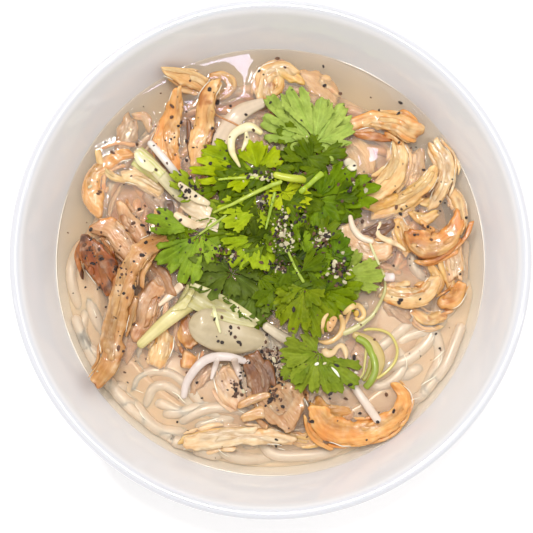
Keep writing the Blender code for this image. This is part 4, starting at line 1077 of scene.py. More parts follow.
def noodle_paths():
    """Waypoints of the strands that fill the bowl beneath those that show, in long curves."""
    rng = np.random.default_rng(11)
    deep = []
    for _ in range(DEEP_STRANDS):
        centre = rng.uniform(-46, 46, 2)
        r = rng.uniform(22, 62)
        start = rng.uniform(0, 2 * math.pi)
        sweep = rng.uniform(0.9, 2.4) * rng.choice([-1, 1])
        stretch = rng.uniform(0.6, 1.0)
        angle = start + np.linspace(0, sweep, 6)
        x = centre[0] + r * np.cos(angle)
        y = centre[1] + r * stretch * np.sin(angle)
        far = np.hypot(x, y)
        scale = np.where(far > DEEP_REACH, DEEP_REACH / np.maximum(far, 1), 1.0)
        deep.append([tuple(p) for p in np.stack([x * scale, y * scale], axis=1)])
    return deep


def lay_noodle(field, points, radius, seed, ceiling, spacing=1.5, tuck=0.0):
    """A strand's line over what already lies in the height field, under a ceiling and inside the bowl."""
    if tuck:
        # A strand that shows runs on at both ends and dives under the others.
        pts = [np.array(p, float) for p in points]
        first, last = pts[0] - pts[1], pts[-1] - pts[-2]
        points = [
            tuple(pts[0] + first / np.hypot(*first) * tuck), *points, tuple(pts[-1] + last / np.hypot(*last) * tuck)
        ]
    line, at = smooth_line(points, [radius * 2] * len(points), spacing)
    far = np.hypot(line[:, 0], line[:, 1])
    room = inner_radius(np.full(len(line), ceiling - radius * 1.3)) - radius - 0.2
    scale = np.where(far > room, room / np.maximum(far, 1), 1.0)
    line[:, :2] *= scale[:, None]
    side = np.stack([noise(at, 14, seed), noise(at, 14, seed + 1)], axis=1)
    line[:, :2] += side * 0.7
    i, j = cells(line[:, 0]), cells(line[:, 1])
    under = field[i, j]
    under = np.maximum.reduce([under, np.roll(under, 1), np.roll(under, -1)])
    wall = inner_height(np.hypot(line[:, 0], line[:, 1]) + radius * 0.8)
    z = smoothed(np.maximum(under, wall) + radius * 0.85, 3)
    z = np.maximum(z, wall + radius)
    z = np.minimum(z, ceiling - radius + 0.25 * noise(at, 16, seed + 2))
    # Both ends dip among the strands below.
    deep, reach = (7.0, 5.5) if tuck else (2.6, 3.5)
    z = smoothed(z, 2) - deep * (np.exp(-at / reach) + np.exp(-(at[-1] - at) / reach))
    return line, at, np.maximum(z, wall + radius * 0.9)


def open_share(x, y):
    """How far a place lies where no meat covers the noodles: along the front, the right and the left wall."""
    front = np.clip((-y - 32) / 10, 0, 1)
    right = np.clip((x - 36) / 8, 0, 1) * np.clip((0 - y) / 10, 0, 1)
    left = np.clip((-x - 66) / 6, 0, 1) * np.clip((6 - y) / 10, 0, 1)
    return np.maximum(front, np.maximum(right, left))


def build_noodles(material):
    """The strands, a core inside them and a skirt beside it."""
    steps = np.arange(SIZE) * GRID - HALF
    gx, gy = np.meshgrid(steps, steps, indexing="ij")
    far = np.hypot(gx, gy)
    core = np.where(
        far < 74, LEVEL - 7.4 + 2.6 * np.clip((-gy - 34) / 10, 0, 1) + 1.2 * np.sin(gx / 9) * np.cos(gy / 8),
        inner_height(far)
    )
    field = np.maximum(core, inner_height(far))
    heaps = (Heap(), Heap())
    rng = np.random.default_rng(5)

    def strand(heap, points, ceiling, seed, tint, radius):
        line, at, z = lay_noodle(field, points, radius, seed, ceiling, tuck=0.0 if heap is heaps[0] else 8.0)
        r = radius * (1 + 0.07 * noise(at, 9, seed + 3)) * end_taper(at, at[-1], 3.0, 3.0)
        rings, _ = tube(line, headings(line), z, r, r, 10)
        verts, quads, tris = capped(rings)
        tone = noise(verts, 7.0, seed + 4)
        depth = np.clip((LEVEL - 3.2 - verts[:, 2]) / 5.0, 0, 1)
        # Painted light and shade: their backs are painted pale as if lit from above, their flanks the tan of shade
        # under the broth, and deeper points fade to the broth's tan as a painted haze.
        up = np.concatenate([((rings[:, :, 2] - z[:, None]) / radius).ravel(), (0.0, 0.0)])
        colour = blend(linear(222, 184, 142), linear(217, 206, 194) * tint, np.clip(0.30 + 0.80 * up, 0, 1))
        colour = blend(colour, linear(216, 182, 144), depth)
        if heap is heaps[0]:
            # Painted shade: under the meat the strands are painted orange-brown, for the shadow the meat casts on
            # them.
            shade = (
                np.clip((verts[:, 1] + 34) / 22, 0, 1)
                * np.clip((78 - np.hypot(verts[:, 0], verts[:, 1])) / 9, 0, 1)
            )
            shadow_tone = blend(linear(200, 122, 54), linear(236, 172, 92), 0.5 + 0.9 * noise(verts, 12.0, 77))
            colour = blend(colour, shadow_tone, 0.85 * shade)
        heap.add(verts, quads, tris, colour * (1 + 0.04 * tone)[:, None])
        for dx in (-2, -1, 0, 1, 2):
            for dy in (-2, -1, 0, 1, 2):
                off = math.hypot(dx, dy) * GRID
                if off > radius:
                    continue
                top = z + math.sqrt(max(radius**2 - off**2, 0.0)) * 0.9
                i = np.clip(cells(line[:, 0]) + dx, 0, SIZE - 1)
                j = np.clip(cells(line[:, 1]) + dy, 0, SIZE - 1)
                np.maximum.at(field, (i, j), top)

    for k, points in enumerate(noodle_paths()):
        strand(heaps[0], points, LEVEL - 4.2, 100 + k * 7, rng.uniform(0.92, 1.0), rng.uniform(2.0, 2.35))
    for k, points in enumerate(NOODLES_SHOWN):
        strand(
            heaps[1], points, LEVEL - 1.6 + 0.45 * (k % 3), 900 + k * 7, rng.uniform(0.97, 1.03),
            rng.uniform(2.3, 2.7)
        )
    # The core under the strands, uneven and inside the heap's solid.
    spokes, circles = 120, 26
    angles = np.linspace(0, 2 * math.pi, spokes, endpoint=False)
    rows = []
    for share in np.linspace(0.04, 1, circles):
        r = CORE_RADIUS * share
        x, y = r * np.cos(angles), r * np.sin(angles)
        low = open_share(x, y)
        top = LEVEL - 6.4 + 3.9 * low - 4.0 * max(0.0, share - 0.86) / 0.14
        uneven = (1.0 - 0.6 * low) * noise(np.stack([x, y], axis=1), 4.0, 3)
        rows.append(np.stack([x, y, np.maximum(top + uneven, inner_height(r) + 0.3)], axis=1))
    for share in np.linspace(1, 0.04, 8):
        r = CORE_RADIUS * share
        rows.append(
            np.stack([r * np.cos(angles), r * np.sin(angles), np.full(spokes, inner_height(r) + 0.2)], axis=1)
        )
    verts, quads, tris = capped(np.array(rows))
    # Painted shade: the core turns dark brown where the meat covers it.
    away = 1 - open_share(verts[:, 0], verts[:, 1])
    tone = blend(
        linear(206, 176, 144), linear(178, 104, 44), away * np.clip(0.6 + 0.9 * fbm(verts, 14.0, 2, 61), 0, 1)
    )
    heaps[0].add(verts, quads[:, ::-1], tris[:, ::-1], tone)
    # A skirt from the core out to the wall, where nothing covers it, painted the pale tan of lit broth over what
    # would be shade, paler towards the wall.
    reach = 76.5 + 9.5 * open_share(80 * np.cos(angles), 80 * np.sin(angles))
    loop = []
    for share in np.linspace(0, 1, 9):
        r = SKIRT_START + (reach - SKIRT_START) * share
        x, y = r * np.cos(angles), r * np.sin(angles)
        top = LEVEL - 6.6 + 4.2 * open_share(x, y) - 3.6 * share**1.8
        loop.append(np.stack([x, y, np.maximum(top, inner_height(r) + 0.35)], axis=1))
    for share in np.linspace(1, 0, 5):
        r = SKIRT_START + (reach - SKIRT_START) * share
        loop.append(np.stack([r * np.cos(angles), r * np.sin(angles), inner_height(r) + 0.1], axis=1))
    rows = len(loop)
    ids = np.arange(rows * spokes).reshape(rows, spokes)
    down = np.roll(ids, -1, axis=0)
    quads = np.stack([ids, np.roll(ids, -1, axis=1), np.roll(down, -1, axis=1), down], axis=-1).reshape(-1, 4)
    verts = np.concatenate(loop)
    far = np.hypot(verts[:, 0], verts[:, 1])
    tone = blend(linear(210, 180, 146), linear(226, 208, 184), np.clip((far - 74) / 10, 0, 1))
    heaps[1].add(verts, quads[:, ::-1], None, tone)
    deep = heaps[0].build("noodles_deep", material)
    shown = heaps[1].build("noodles_top", material)
    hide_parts("noodles")


# ------------------------------------------------------------------ the broth


def liquid_material():
    """Clear liquid with a little veil, through which lamps light what lies under it."""
    made, tree, shader = nodes_of("clear_broth")
    # The part that isn't transmitted is the pale veil of a cloudy stock.
    set_inputs(shader, Base_Color=(0.96, 0.868, 0.715, 1), Roughness=0.0, IOR=1.34, Transmission_Weight=0.82)
    path = add_node(tree, "LightPath")
    clear = add_node(tree, "BsdfTransparent", Color=(1.0, 1.0, 1.0, 1))
    mix = add_node(tree, "MixShader")
    out = tree.nodes["Material Output"]
    link(tree, path, "Is Shadow Ray", mix, 0)
    link(tree, shader, "BSDF", mix, 1)
    link(tree, clear, "BSDF", mix, 2)
    link(tree, mix, "Shader", out, "Surface")
    soak = add_node(tree, "VolumeAbsorption", Color=(0.955, 0.835, 0.55, 1), Density=52.0)
    link(tree, soak, "Volume", out, "Volume")
    return made


def build_broth(standing):
    """The liquid: flat, drawn up a little where it meets the bowl and each piece that stands in it."""
    step = 0.72
    half = 91.0
    count = int(2 * half / step) + 1
    axis = np.arange(count) * step - half
    gx, gy = np.meshgrid(axis, axis, indexing="ij")
    far = np.hypot(gx, gy)
    wet = np.zeros((count, count), bool)
    for piece in standing:
        co = np.empty(len(piece.data.vertices) * 3, np.float32)
        piece.data.vertices.foreach_get("co", co)
        co = co.reshape(-1, 3) / MM
        co = co[(co[:, 2] > LEVEL - 0.9) & (co[:, 2] < LEVEL + 1.3)]
        i = np.clip(np.round((co[:, 0] + half) / step).astype(int), 0, count - 1)
        j = np.clip(np.round((co[:, 1] + half) / step).astype(int), 0, count - 1)
        wet[i, j] = True
    wall = float(inner_radius(LEVEL))
    distance = np.where(wet, 0.0, 9.0)
    for _ in range(7):
        for dx, dy in ((1, 0), (-1, 0), (0, 1), (0, -1)):
            distance = np.minimum(distance, np.roll(distance, (dx, dy), axis=(0, 1)) + step)
        for dx, dy in ((1, 1), (-1, 1), (1, -1), (-1, -1)):
            distance = np.minimum(distance, np.roll(distance, (dx, dy), axis=(0, 1)) + step * 1.414)
    rise = 0.36 * np.exp(-distance / 0.75) + 0.16 * np.exp(-np.clip(wall - far, 0, 9) / 0.6)
    ripple = 0.012 * over_plan(noise, gx, gy, 11.0, 4)
    z = LEVEL + rise + ripple
    z = (z + (np.roll(z, 1, 0) + np.roll(z, -1, 0) + np.roll(z, 1, 1) + np.roll(z, -1, 1)) / 4) / 2
    inside = far < BROTH_RADIUS
    keep = inside[:-1, :-1] | inside[1:, :-1] | inside[:-1, 1:] | inside[1:, 1:]
    ids = np.arange(count * count).reshape(count, count)
    quads = np.stack([ids[:-1, :-1], ids[1:, :-1], ids[1:, 1:], ids[:-1, 1:]], axis=-1)[keep]
    used = np.unique(quads)
    renumber = np.full(count * count, -1)
    renumber[used] = np.arange(len(used))
    quads = renumber[quads]
    verts = np.stack([gx.ravel()[used], gy.ravel()[used], z.ravel()[used]], axis=1)
    directed = {}
    edges = set()
    for q in quads.tolist():
        for a, b in zip(q, q[1:] + q[:1]):
            edges.add((a, b))
    for a, b in edges:
        if (b, a) not in edges:
            directed[a] = b
    loop = [next(iter(directed))]
    while directed[loop[-1]] != loop[0]:
        loop.append(directed[loop[-1]])
    rim = verts[loop]
    rows = [np.array(loop)]
    points = [verts]
    start = len(verts)
    reach = np.hypot(rim[:, 0], rim[:, 1])
    for share in (1.0, 0.97, 0.94, 0.90, 0.86, 0.81, 0.76, 0.68, 0.6, 0.5, 0.4, 0.2):
        ring = rim.copy()
        ring[:, :2] *= share
        r = reach * share
        ring[:, 2] = np.minimum(inner_height(r) - 1.5, LEVEL - 1.4)
        points.append(ring)
        rows.append(np.arange(len(ring)) + start)
        start += len(ring)
    points.append(np.array([[0, 0, inner_height(0) - 1.5]]))
    tip = start
    more = []
    n = len(loop)
    k = np.arange(n)
    nx = (k + 1) % n
    for a, b in zip(rows, rows[1:]):
        more.append(np.stack([a[k], b[k], b[nx], a[nx]], axis=1))
    tris = np.stack([rows[-1][k], np.full(n, tip), rows[-1][nx]], axis=1)
    piece = make_mesh(
        "broth_liquid", np.concatenate(points), np.concatenate([quads] + more), tris, None, liquid_material()
    )
    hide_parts("broth")
    return piece


# ------------------------------------------------------------------ further pieces, sunk in the broth or thin

# Points, widths, height of the top over the broth, thickness, look.
SUNK_SHREDS = (
    # Painted shade: a dark brown strip in the shaded gap between chicken_02 and chicken_03.
    (((-34.5, 60), (-34, 51), (-33, 42)), (2.2, 3.0, 2.4), 0.7, 3.6,
     ((136, 88, 52), (104, 62, 34), (80, 44, 22), 0.30, 0.5)),
    # Painted shade: a dark brown piece standing in for a shaded pocket.
    (((-43, 25), (-42, 20), (-43, 15)), (3.0, 4.4, 3.0), 0.4, 3.6,
     ((128, 82, 52), (98, 60, 36), (76, 42, 24), 0.30, 0.5)),
    # Painted shade: a dark piece under the loop of chicken_24, for its shaded underside.
    (((35, 52.5), (43, 52), (51, 50.5)), (2.0, 4.0, 2.4), 1.2, 2.4,
     ((206, 138, 74), (184, 112, 56), (150, 84, 40), 0.30, 0.6)),
    (((12, 79), (21, 74), (29, 67)), (5, 12, 7), -0.9, 5.0, ((226, 186, 130), (210, 164, 104), ORANGE, 0.05, 0.5)),
    (((-64, 44), (-60.5, 53), (-57.5, 60)), (5, 9, 6), -0.8, 4.0,
     ((190, 146, 96), (176, 132, 84), ORANGE, 0.05, 0.5)),
    (((-58, 61), (-53, 60), (-50.5, 54)), (3, 4.5, 3), 0.2, 3.0,
     ((200, 156, 108), (216, 170, 112), ORANGE, 0.10, 0.6)),
    (((-73, 47), (-70.5, 40), (-66, 35), (-60, 33)), (2.6, 3.4, 3.4, 2.4), 0.5, 2.6,
     ((232, 200, 154), GOLD_LIGHT, ORANGE, 0.0, 0.5)),
    (((-38, -75), (-25, -72), (-10, -71)), (3, 4, 3), 0.9, 2.6, (GOLD_LIGHT, PALE, ORANGE, 0.05, 0.8)),
    (((-52, 31), (-49, 26), (-44, 22)), (6, 10, 8), -0.6, 4.0, ((176, 134, 104), (150, 108, 80), BROWN, 0.15, 0.6)),
    (((32, 50), (37, 44), (40, 36)), (9, 14, 10), -0.8, 4.0, ((232, 190, 134), (214, 168, 108), GOLD, 0.05, 0.4)),
    (((61, 46), (60, 38), (57, 30)), (8, 12, 8), -0.7, 4.0, ((232, 188, 132), (212, 160, 100), GOLD, 0.08, 0.5)),
    (((66, 0), (70, -5), (75, -14)), (6, 8, 6), -0.5, 4.0, ((222, 176, 130), (206, 160, 116), GOLD, 0.05, 0.6)),
    (
        ((36, 8), (45, 12.5), (53, 16)), (4, 7, 4), 0.5, 4.0,
        ((146, 100, 66), (116, 76, 48), (86, 50, 28), 0.30, 0.5)
    ),
    (((-26, 77.5), (-19.5, 78), (-16, 74), (-19.5, 70), (-24, 69)), (3.5, 4.5, 4.5, 4, 3), 0.4, 3.4,
     ((226, 180, 118), (206, 156, 98), ORANGE, 0.08, 0.5)),
    (((-49, 20), (-44, 15), (-38, 12)), (5, 8, 5), 0.6, 3.6, (GOLD, ORANGE, BROWN, 0.25, 0.7)),
    (((-8, 60), (-4, 52), (-2, 44)), (8, 12, 8), -0.8, 4.0, ((198, 156, 110), (178, 134, 92), GOLD, 0.05, 0.4)),
    (((20, -24), (26, -27), (30, -30)), (7, 10, 6), -0.6, 4.0, ((196, 148, 100), (168, 118, 74), BROWN, 0.20, 0.5)),
    (((34, -36), (38, -42), (38, -49)), (7, 9, 6), -0.6, 4.0, ((206, 158, 106), (184, 134, 84), BROWN, 0.12, 0.5)),
    (((-8, -40), (-4, -48), (-3, -57)), (9, 12, 9), 2.2, 4.5,
     ((164, 112, 74), (138, 92, 62), (110, 66, 40), 0.35, 0.7)),
    (
        ((-14, -61), (-7, -58), (0, -56)), (2.5, 4, 3), 3.2, 2.4,
        ((214, 168, 124), (226, 184, 144), BROWN, 0.16, 0.9)
    ),
    (((-12, -66), (-3, -63), (6, -64)), (3, 5, 3), 2.7, 2.4, ((218, 174, 130), (228, 188, 148), BROWN, 0.14, 0.9)),
    (
        ((-24, -44), (-29, -49), (-31, -55)), (5, 8, 5), -0.4, 3.6,
        ((214, 160, 116), (190, 138, 96), BROWN, 0.10, 0.6)
    ),
    (((-40, -24), (-39, -31), (-37, -38)), (5, 8, 6), -0.3, 3.6, ((180, 122, 72), (150, 96, 56), BROWN, 0.30, 0.6)),
    (((-52, -2), (-46, -8), (-42, -16)), (6, 9, 6), 0.4, 3.8, ((206, 156, 122), (180, 130, 98), BROWN, 0.22, 0.6)),
    (
        ((-58, -24), (-58, -33), (-62, -42)), (6, 8, 6), -0.4, 3.6,
        ((200, 150, 104), (176, 124, 82), BROWN, 0.15, 0.6)
    ),
    (((12, 62), (20, 66), (27, 60)), (10, 16, 10), -1.0, 4.0, ((206, 160, 104), (186, 138, 86), ORANGE, 0.05, 0.4)),
    (((-2, 70), (3, 74), (2, 80)), (5, 7, 4), 1.2, 3.6, (GOLD, GOLD_LIGHT, ORANGE, 0.20, 1.0)),
    (((2, 79), (8, 78.5), (14, 75)), (3, 6, 2.5), 1.4, 2.6, ((240, 196, 122), GOLD_LIGHT, ORANGE, 0.05, 0.6)),
    (((60, 26), (66, 24), (70, 29), (68, 35)), (3, 4, 4, 2.5), 1.4, 2.6,
     ((238, 194, 136), GOLD_LIGHT, ORANGE, 0.05, 0.8)),
    (((58, 20), (64, 17), (70, 20)), (3, 5, 3), 1.6, 2.6, ((240, 200, 146), GOLD_LIGHT, ORANGE, 0.05, 0.8)),
    (((66, -2), (70, -9), (68, -15)), (3, 5, 3), 1.4, 2.8, ((236, 190, 134), GOLD_LIGHT, ORANGE, 0.05, 0.9)),
    (((70, 0), (74, -8), (75, -14)), (3, 4.5, 3), 1.8, 2.8, ((230, 184, 130), GOLD_LIGHT, ORANGE, 0.05, 0.9)),
    (((36, 24), (44, 23), (54, 26)), (4, 6, 4), 2.2, 2.8, ((238, 206, 146), YELLOW, GOLD, 0.05, 0.8)),
    (((18, -58), (24, -64), (34, -63)), (5, 9, 6), 0.6, 3.6, ((206, 156, 96), GOLD, BROWN, 0.15, 0.7)),
    (((6, -72), (14, -75), (22, -74)), (4, 7, 4), 0.4, 3.2, ((232, 192, 138), GOLD_LIGHT, ORANGE, 0.05, 0.8)),
    (((48, -17), (54, -21), (58, -26)), (6, 9, 5), -0.6, 4.0, ((196, 152, 112), (176, 130, 92), BROWN, 0.12, 0.5)),
)

# Thin curls over the rest: points, widths, thickness, lift over what they lie on, look.
CURLS = {
    "sprout_curl_01": (((-3, 53), (-9, 56), (-15.5, 52), (-16, 45), (-12.5, 38)), (2.0, 4.2, 3.6, 2.8, 1.0), 2.2,
                       0.1, ((238, 222, 152), (246, 236, 200), 0.2)),
    "sprout_curl_02": (((-10.5, 56), (-10, 50), (-12, 45)), (1.0, 2.2, 1.0), 1.4, 0.3,
                       ((240, 226, 160), (246, 236, 200), 0.2)),
    "sprout_curl_03": (((28.7, -23.0), (30.0, -26.8), (29.2, -30.5), (26.5, -33.2), (23.3, -34.5), (19.8, -34.0)),
                       (1.6, 2.4, 2.6, 2.4, 2.2, 0.8), 1.8, 0.3, ((228, 182, 112), (240, 204, 146), 0.4)),
    "sprout_tip_01": (((25.0, -34.2), (22.6, -34.5), (19.7, -33.9)), (1.0, 1.7, 0.5), 1.0, 0.5,
                      ((238, 196, 70), (246, 216, 110), 0.2)),
    "sprout_petal_01": (((24.1, -30.5), (24.9, -27.2), (27.0, -24.0)), (1.6, 3.6, 2.0), 1.4, 0.1,
                        ((214, 162, 104), (228, 184, 128), 0.4)),
    "sprout_strip_01": (((23.9, -22.6), (22.0, -25.2), (21.4, -28.9), (22.0, -31.4)), (1.0, 1.7, 1.4, 0.7), 1.2,
                        0.2, ((230, 186, 124), (240, 206, 150), 0.3)),
    "sprout_curl_04": (((21.7, -37.2), (23.6, -39.2), (26.0, -38.7), (27.6, -36.6), (29.7, -35.9), (31.2, -38.6),
                        (31.2, -41.6)),
                       (2.6, 3.4, 2.6, 2.0, 2.4, 2.4, 0.7), 1.9, 0.2, ((226, 190, 136), (236, 208, 160), 0.2)),
    "sprout_curl_05": (((30.0, -23.0), (33.0, -20.4), (35.9, -19.2), (38.2, -20.8), (38.8, -23.4), (36.8, -25.1),
                        (34.8, -24.0)),
                       (1.6, 2.3, 2.4, 2.4, 2.2, 1.8, 1.0), 1.8, 0.2, ((232, 190, 120), (244, 214, 150), 0.2)),
    "sprout_leg_01": (((33.0, -20.9), (31.9, -24.6), (30.8, -27.8)), (1.3, 1.5, 0.9), 1.2, 0.1,
                      ((224, 178, 116), (236, 200, 142), 0.3)),
    "sprout_head_01": (((35.2, -21.0), (35.6, -22.4), (35.8, -24.0)), (1.6, 2.6, 1.6), 2.0, 0.1,
                       ((222, 176, 70), (236, 198, 104), 0.1)),
    # Painted highlights: white dabs that stand for glints on the wet leaf.
    "painted_glint_01": (((18.1, -43.9), (20.1, -43.0)), (1.2, 1.5), 0.7, 0.1, ((255, 250, 226), (255, 252, 236), 0.0)),
    "painted_glint_02": (((25.0, -44.6), (27.0, -46.8), (28.5, -49.0)), (0.5, 1.2, 0.5), 0.6, 0.1,
                ((252, 252, 226), (255, 254, 236), 0.0)),
    "painted_glint_03": (((34.6, -46.6), (36.4, -47.3)), (1.1, 1.2), 0.7, 0.1, ((255, 250, 240), (255, 252, 244), 0.0)),
    "sprout_head_02": (((31.5, 42.5), (33.5, 39.5), (35, 36.5)), (3.0, 4.6, 2.6), 2.6, 0.2,
                       ((244, 232, 190), (248, 238, 210), 0.1)),
    "sprout_curl_06": (((33, 18.5), (34.5, 13), (38, 9), (43, 7)), (1.8, 2.8, 2.8, 2.0), 2.2, 0.2,
                       ((242, 220, 188), (248, 230, 206), 0.2)),
    "sprout_curl_07": (((46, 16), (45, 10.5), (49, 7.5), (53, 6), (56.5, 3.5)), (1.4, 2.2, 2.4, 2.0, 1.4), 1.8, 0.2,
                       ((246, 214, 160), (250, 228, 188), 0.2)),
    "white_stick": (((46.5, -7.6), (52, -7.4)), (3.6, 3.6), 3.0, 0.2, ((250, 238, 232), (246, 232, 224), 0.1)),
    "thin_stem_01": (((45.5, -3), (47.6, -12), (43.4, -21.9), (38.9, -26.2), (34.6, -28.9), (29.7, -31)),
                     (0.9, 1.3, 1.7, 2.2, 2.6, 2.4), 1.6, 0.3, ((198, 192, 126), (210, 202, 146), 0.4)),
    "thin_stem_02": (((22, 36), (17.5, 32), (12, 27)), (2.8, 2.2, 2.4), 2.0, 0.2,
                     ((180, 202, 60), (156, 186, 44), 0.3)),
    "leaf_stem_01": (((-24, 19), (-14, 23.5), (-2, 29.5), (5, 32)), (1.1, 1.5, 1.8, 1.8), 1.4, 0.3,
                     ((190, 206, 80), (168, 190, 56), 0.3)),
    "leaf_stem_02": (((-22, 33), (-10, 34), (1, 33.5)), (1.0, 1.4, 1.8), 1.3, 0.2,
                     ((190, 206, 70), (166, 190, 50), 0.3)),
    "leaf_stem_03": (
        ((-2, 12), (0, 20), (2, 28)), (1.0, 1.3, 1.5), 1.2, 0.2, ((160, 184, 50), (140, 170, 36), 0.3)
    ),
    "leaf_stem_04": (
        ((14, -10), (10, -3), (6, 6)), (1.4, 1.2, 1.0), 1.2, 0.2, ((170, 190, 70), (150, 176, 50), 0.3)
    ),
    "leaf_stem_05": (((-30, 10), (-24, 14), (-18, 18)), (1.0, 1.2, 1.2), 1.2, 0.2,
                     ((180, 198, 90), (160, 182, 60), 0.3)),
    "thread_01": (((-25, 62), (-18, 58.5), (-12, 55.5), (-9, 53)), (0.5, 0.8, 0.8, 0.5), 0.7, 0.2,
                  ((206, 150, 100), (190, 130, 80), 0.3)),
    "thin_stem_03": (((41, 8), (43, 2), (45, -3)), (1.0, 1.2, 1.0), 1.0, 0.3,
                     ((214, 214, 150), (220, 218, 170), 0.3)),
    "branch_01": (((-21.5, -41), (-23, -45), (-24.5, -50)), (2.0, 2.4, 1.2), 1.8, 0.0,
                  ((240, 228, 218), (232, 218, 206), 0.2)),
    "branch_02": (((-15, -41), (-13.5, -46), (-11.5, -51)), (2.6, 2.8, 0.9), 1.4, 0.1,
                  ((220, 202, 186), (206, 186, 168), 0.2)),
    "branch_03": (((-10, -42), (-6, -45), (-2.5, -49)), (1.8, 2.6, 1.0), 1.4, 0.1,
                  ((226, 208, 194), (214, 194, 178), 0.2)),
    "stalk_layer": (((-46.5, -19.5), (-41, -14.5), (-36.5, -10.5)), (1.6, 3.4, 3.4), 1.6, 0.1,
                    ((244, 216, 180), (250, 230, 202), 0.5)),
    "onion_strip": (((-24, -18), (-22.5, -24), (-20.5, -31)), (1.4, 1.8, 0.9), 0.8, 0.3,
                    ((240, 238, 186), (232, 230, 170), 0.3)),
    "pale_sheet_01": (((-56, 44.5), (-53.5, 40.5), (-48, 36)), (2.2, 4.2, 2.6), 1.0, 0.4,
                      ((230, 220, 164), (238, 230, 190), 0.6)),
    "pale_sheet_02": (((-38, 31), (-32, 26), (-25, 22.5)), (2.0, 4.0, 2.0), 1.2, 0.3,
                      ((240, 224, 190), (232, 212, 170), 0.5)),
    "pale_sheet_03": (((-40, 19), (-33, 14.5), (-27, 15)), (2.4, 4.0, 2.0), 1.4, 0.3,
                      ((246, 224, 188), (238, 208, 166), 0.5)),
}


# What the broth leaves of the red, green and blue of a piece that lies in it.
SOAKED = np.array((0.90, 0.84, 0.60))


def build_sunk(material):
    """Pieces of meat under the surface, in no node of their own."""
    heap = Heap()
    for k, (points, widths, top, thick, look) in enumerate(SUNK_SHREDS):
        line, at = smooth_line(points, widths, SUNK_STEP)
        high = np.full(len(line), LEVEL + top - 0.5 * (top < 0)) + 0.25 * noise(at, 9.0, 300 + k)
        main, second, *rest = tones(look)
        shred_bundle(
            heap, line, at, high - thick, high, (main * SOAKED, second * SOAKED, *rest), 500 + 37 * k, 0.45
        )
    piece = heap.build("meat_sunk", material)
    return piece


def build_painted_glints(material):
    """Painted highlights: thin near-white threads along the edges of the shreds and of the noodles, where wet edges
    would catch glints.
    """
    heap = Heap()
    rng = np.random.default_rng(31)
    edges = []
    for name, (points, widths) in CHICKEN.items():
        line, at = smooth_line(points, widths, STALK_STEP)
        _, high = span_along(name, line)
        edges += [(line, at, smoothed(high, 5) - 0.9, side) for side in (-1, 1) for _ in range(2)]
    for points in NOODLES_SHOWN:
        line, at = smooth_line(points, [4.0] * len(points), STALK_STEP)
        edges.append((line, at, np.full(len(at), LEVEL + 0.15), rng.choice([-0.3, 0.3])))
    for line, at, high, side in edges:
        long = rng.uniform(2.5, 8.0)
        start = rng.uniform(0, max(0.5, at[-1] - long))
        s = np.arange(start, min(start + long, at[-1]), 0.5)
        if len(s) < 4 or rng.random() < 0.35:
            continue
        along = headings(line)
        x, y, wide, tx, ty, z = values_at(s, at, *line.T, *along.T, high)
        u = side * (wide / 2 * 0.96) + 0.3 * noise(s, 3.0, len(heap.verts))
        x, y = x - ty * u, y + tx * u
        z = np.maximum(z, LEVEL + 0.25)
        r = rng.uniform(0.12, 0.22) * np.sin(np.linspace(0.15, math.pi - 0.15, len(s))) ** 0.5
        path = np.stack([x, y, np.ones(len(s))], axis=1)
        rings, _ = tube(path, headings(path), z, r, r, 6)
        verts, quads, tris = capped(rings)
        # Near white: a painted highlight.
        heap.add(verts, quads, tris, np.tile(linear(255, 253, 232), (len(verts), 1)))
    heap.build("painted_glint_threads", material)


def build_waterline(material):
    """The bead of liquid drawn up along the glaze, thick in a few stretches and hair-thin between them, painted
    near white as a painted highlight line.
    """
    spokes, corners = 360, 8
    t = np.linspace(0, 2 * math.pi, spokes, endpoint=False)
    around = np.linspace(0, 2 * math.pi, corners, endpoint=False)
    wall = float(inner_radius(LEVEL + 0.2))
    thin = np.full(spokes, 0.05)
    # The thick stretches set where the painted highlight line shows.
    for middle, wide in ((8, 24), (184, 22), (205, 12), (262, 15), (62, 10)):
        off = (np.degrees(t) - middle + 180) % 360 - 180
        thin = np.maximum(thin, 0.05 + 0.26 * np.clip(1 - np.abs(off / wide), 0, 1) ** 0.5)
    thin = thin * (1 + 0.30 * noise(np.stack([np.cos(t) * 60, np.sin(t) * 60], axis=1), 7.0, 12))
    r = wall - 0.25 + thin[:, None] * np.cos(around)[None, :]
    z = LEVEL + 0.16 + thin[:, None] * np.sin(around)[None, :]
    verts = np.stack([r * np.cos(t)[:, None], r * np.sin(t)[:, None], z], axis=-1).reshape(-1, 3)
    ids = np.arange(spokes * corners).reshape(spokes, corners)
    down = np.roll(ids, -1, axis=0)
    quads = np.stack([ids, down, np.roll(down, -1, axis=1), np.roll(ids, -1, axis=1)], axis=-1).reshape(-1, 4)
    # Painted near white, as a painted highlight.
    piece = make_mesh(
        "waterline_highlight_bead", verts, quads, None, np.tile(linear(244, 236, 222), (len(verts), 1)), material
    )


def joined_tree(pieces):
    """One tree of all these pieces as they are after their modifiers."""
    verts, faces, start = [], [], 0
    graph = bpy.context.evaluated_depsgraph_get()
    for piece in pieces:
        whole = piece.evaluated_get(graph)
        mesh = whole.to_mesh()
        co = np.empty(len(mesh.vertices) * 3, np.float32)
        mesh.vertices.foreach_get("co", co)
        verts.append(co.reshape(-1, 3))
        faces += [tuple(i + start for i in p.vertices) for p in mesh.polygons]
        start += len(mesh.vertices)
        whole.to_mesh_clear()
    return BVHTree.FromPolygons([tuple(v) for v in np.concatenate(verts).tolist()], faces)


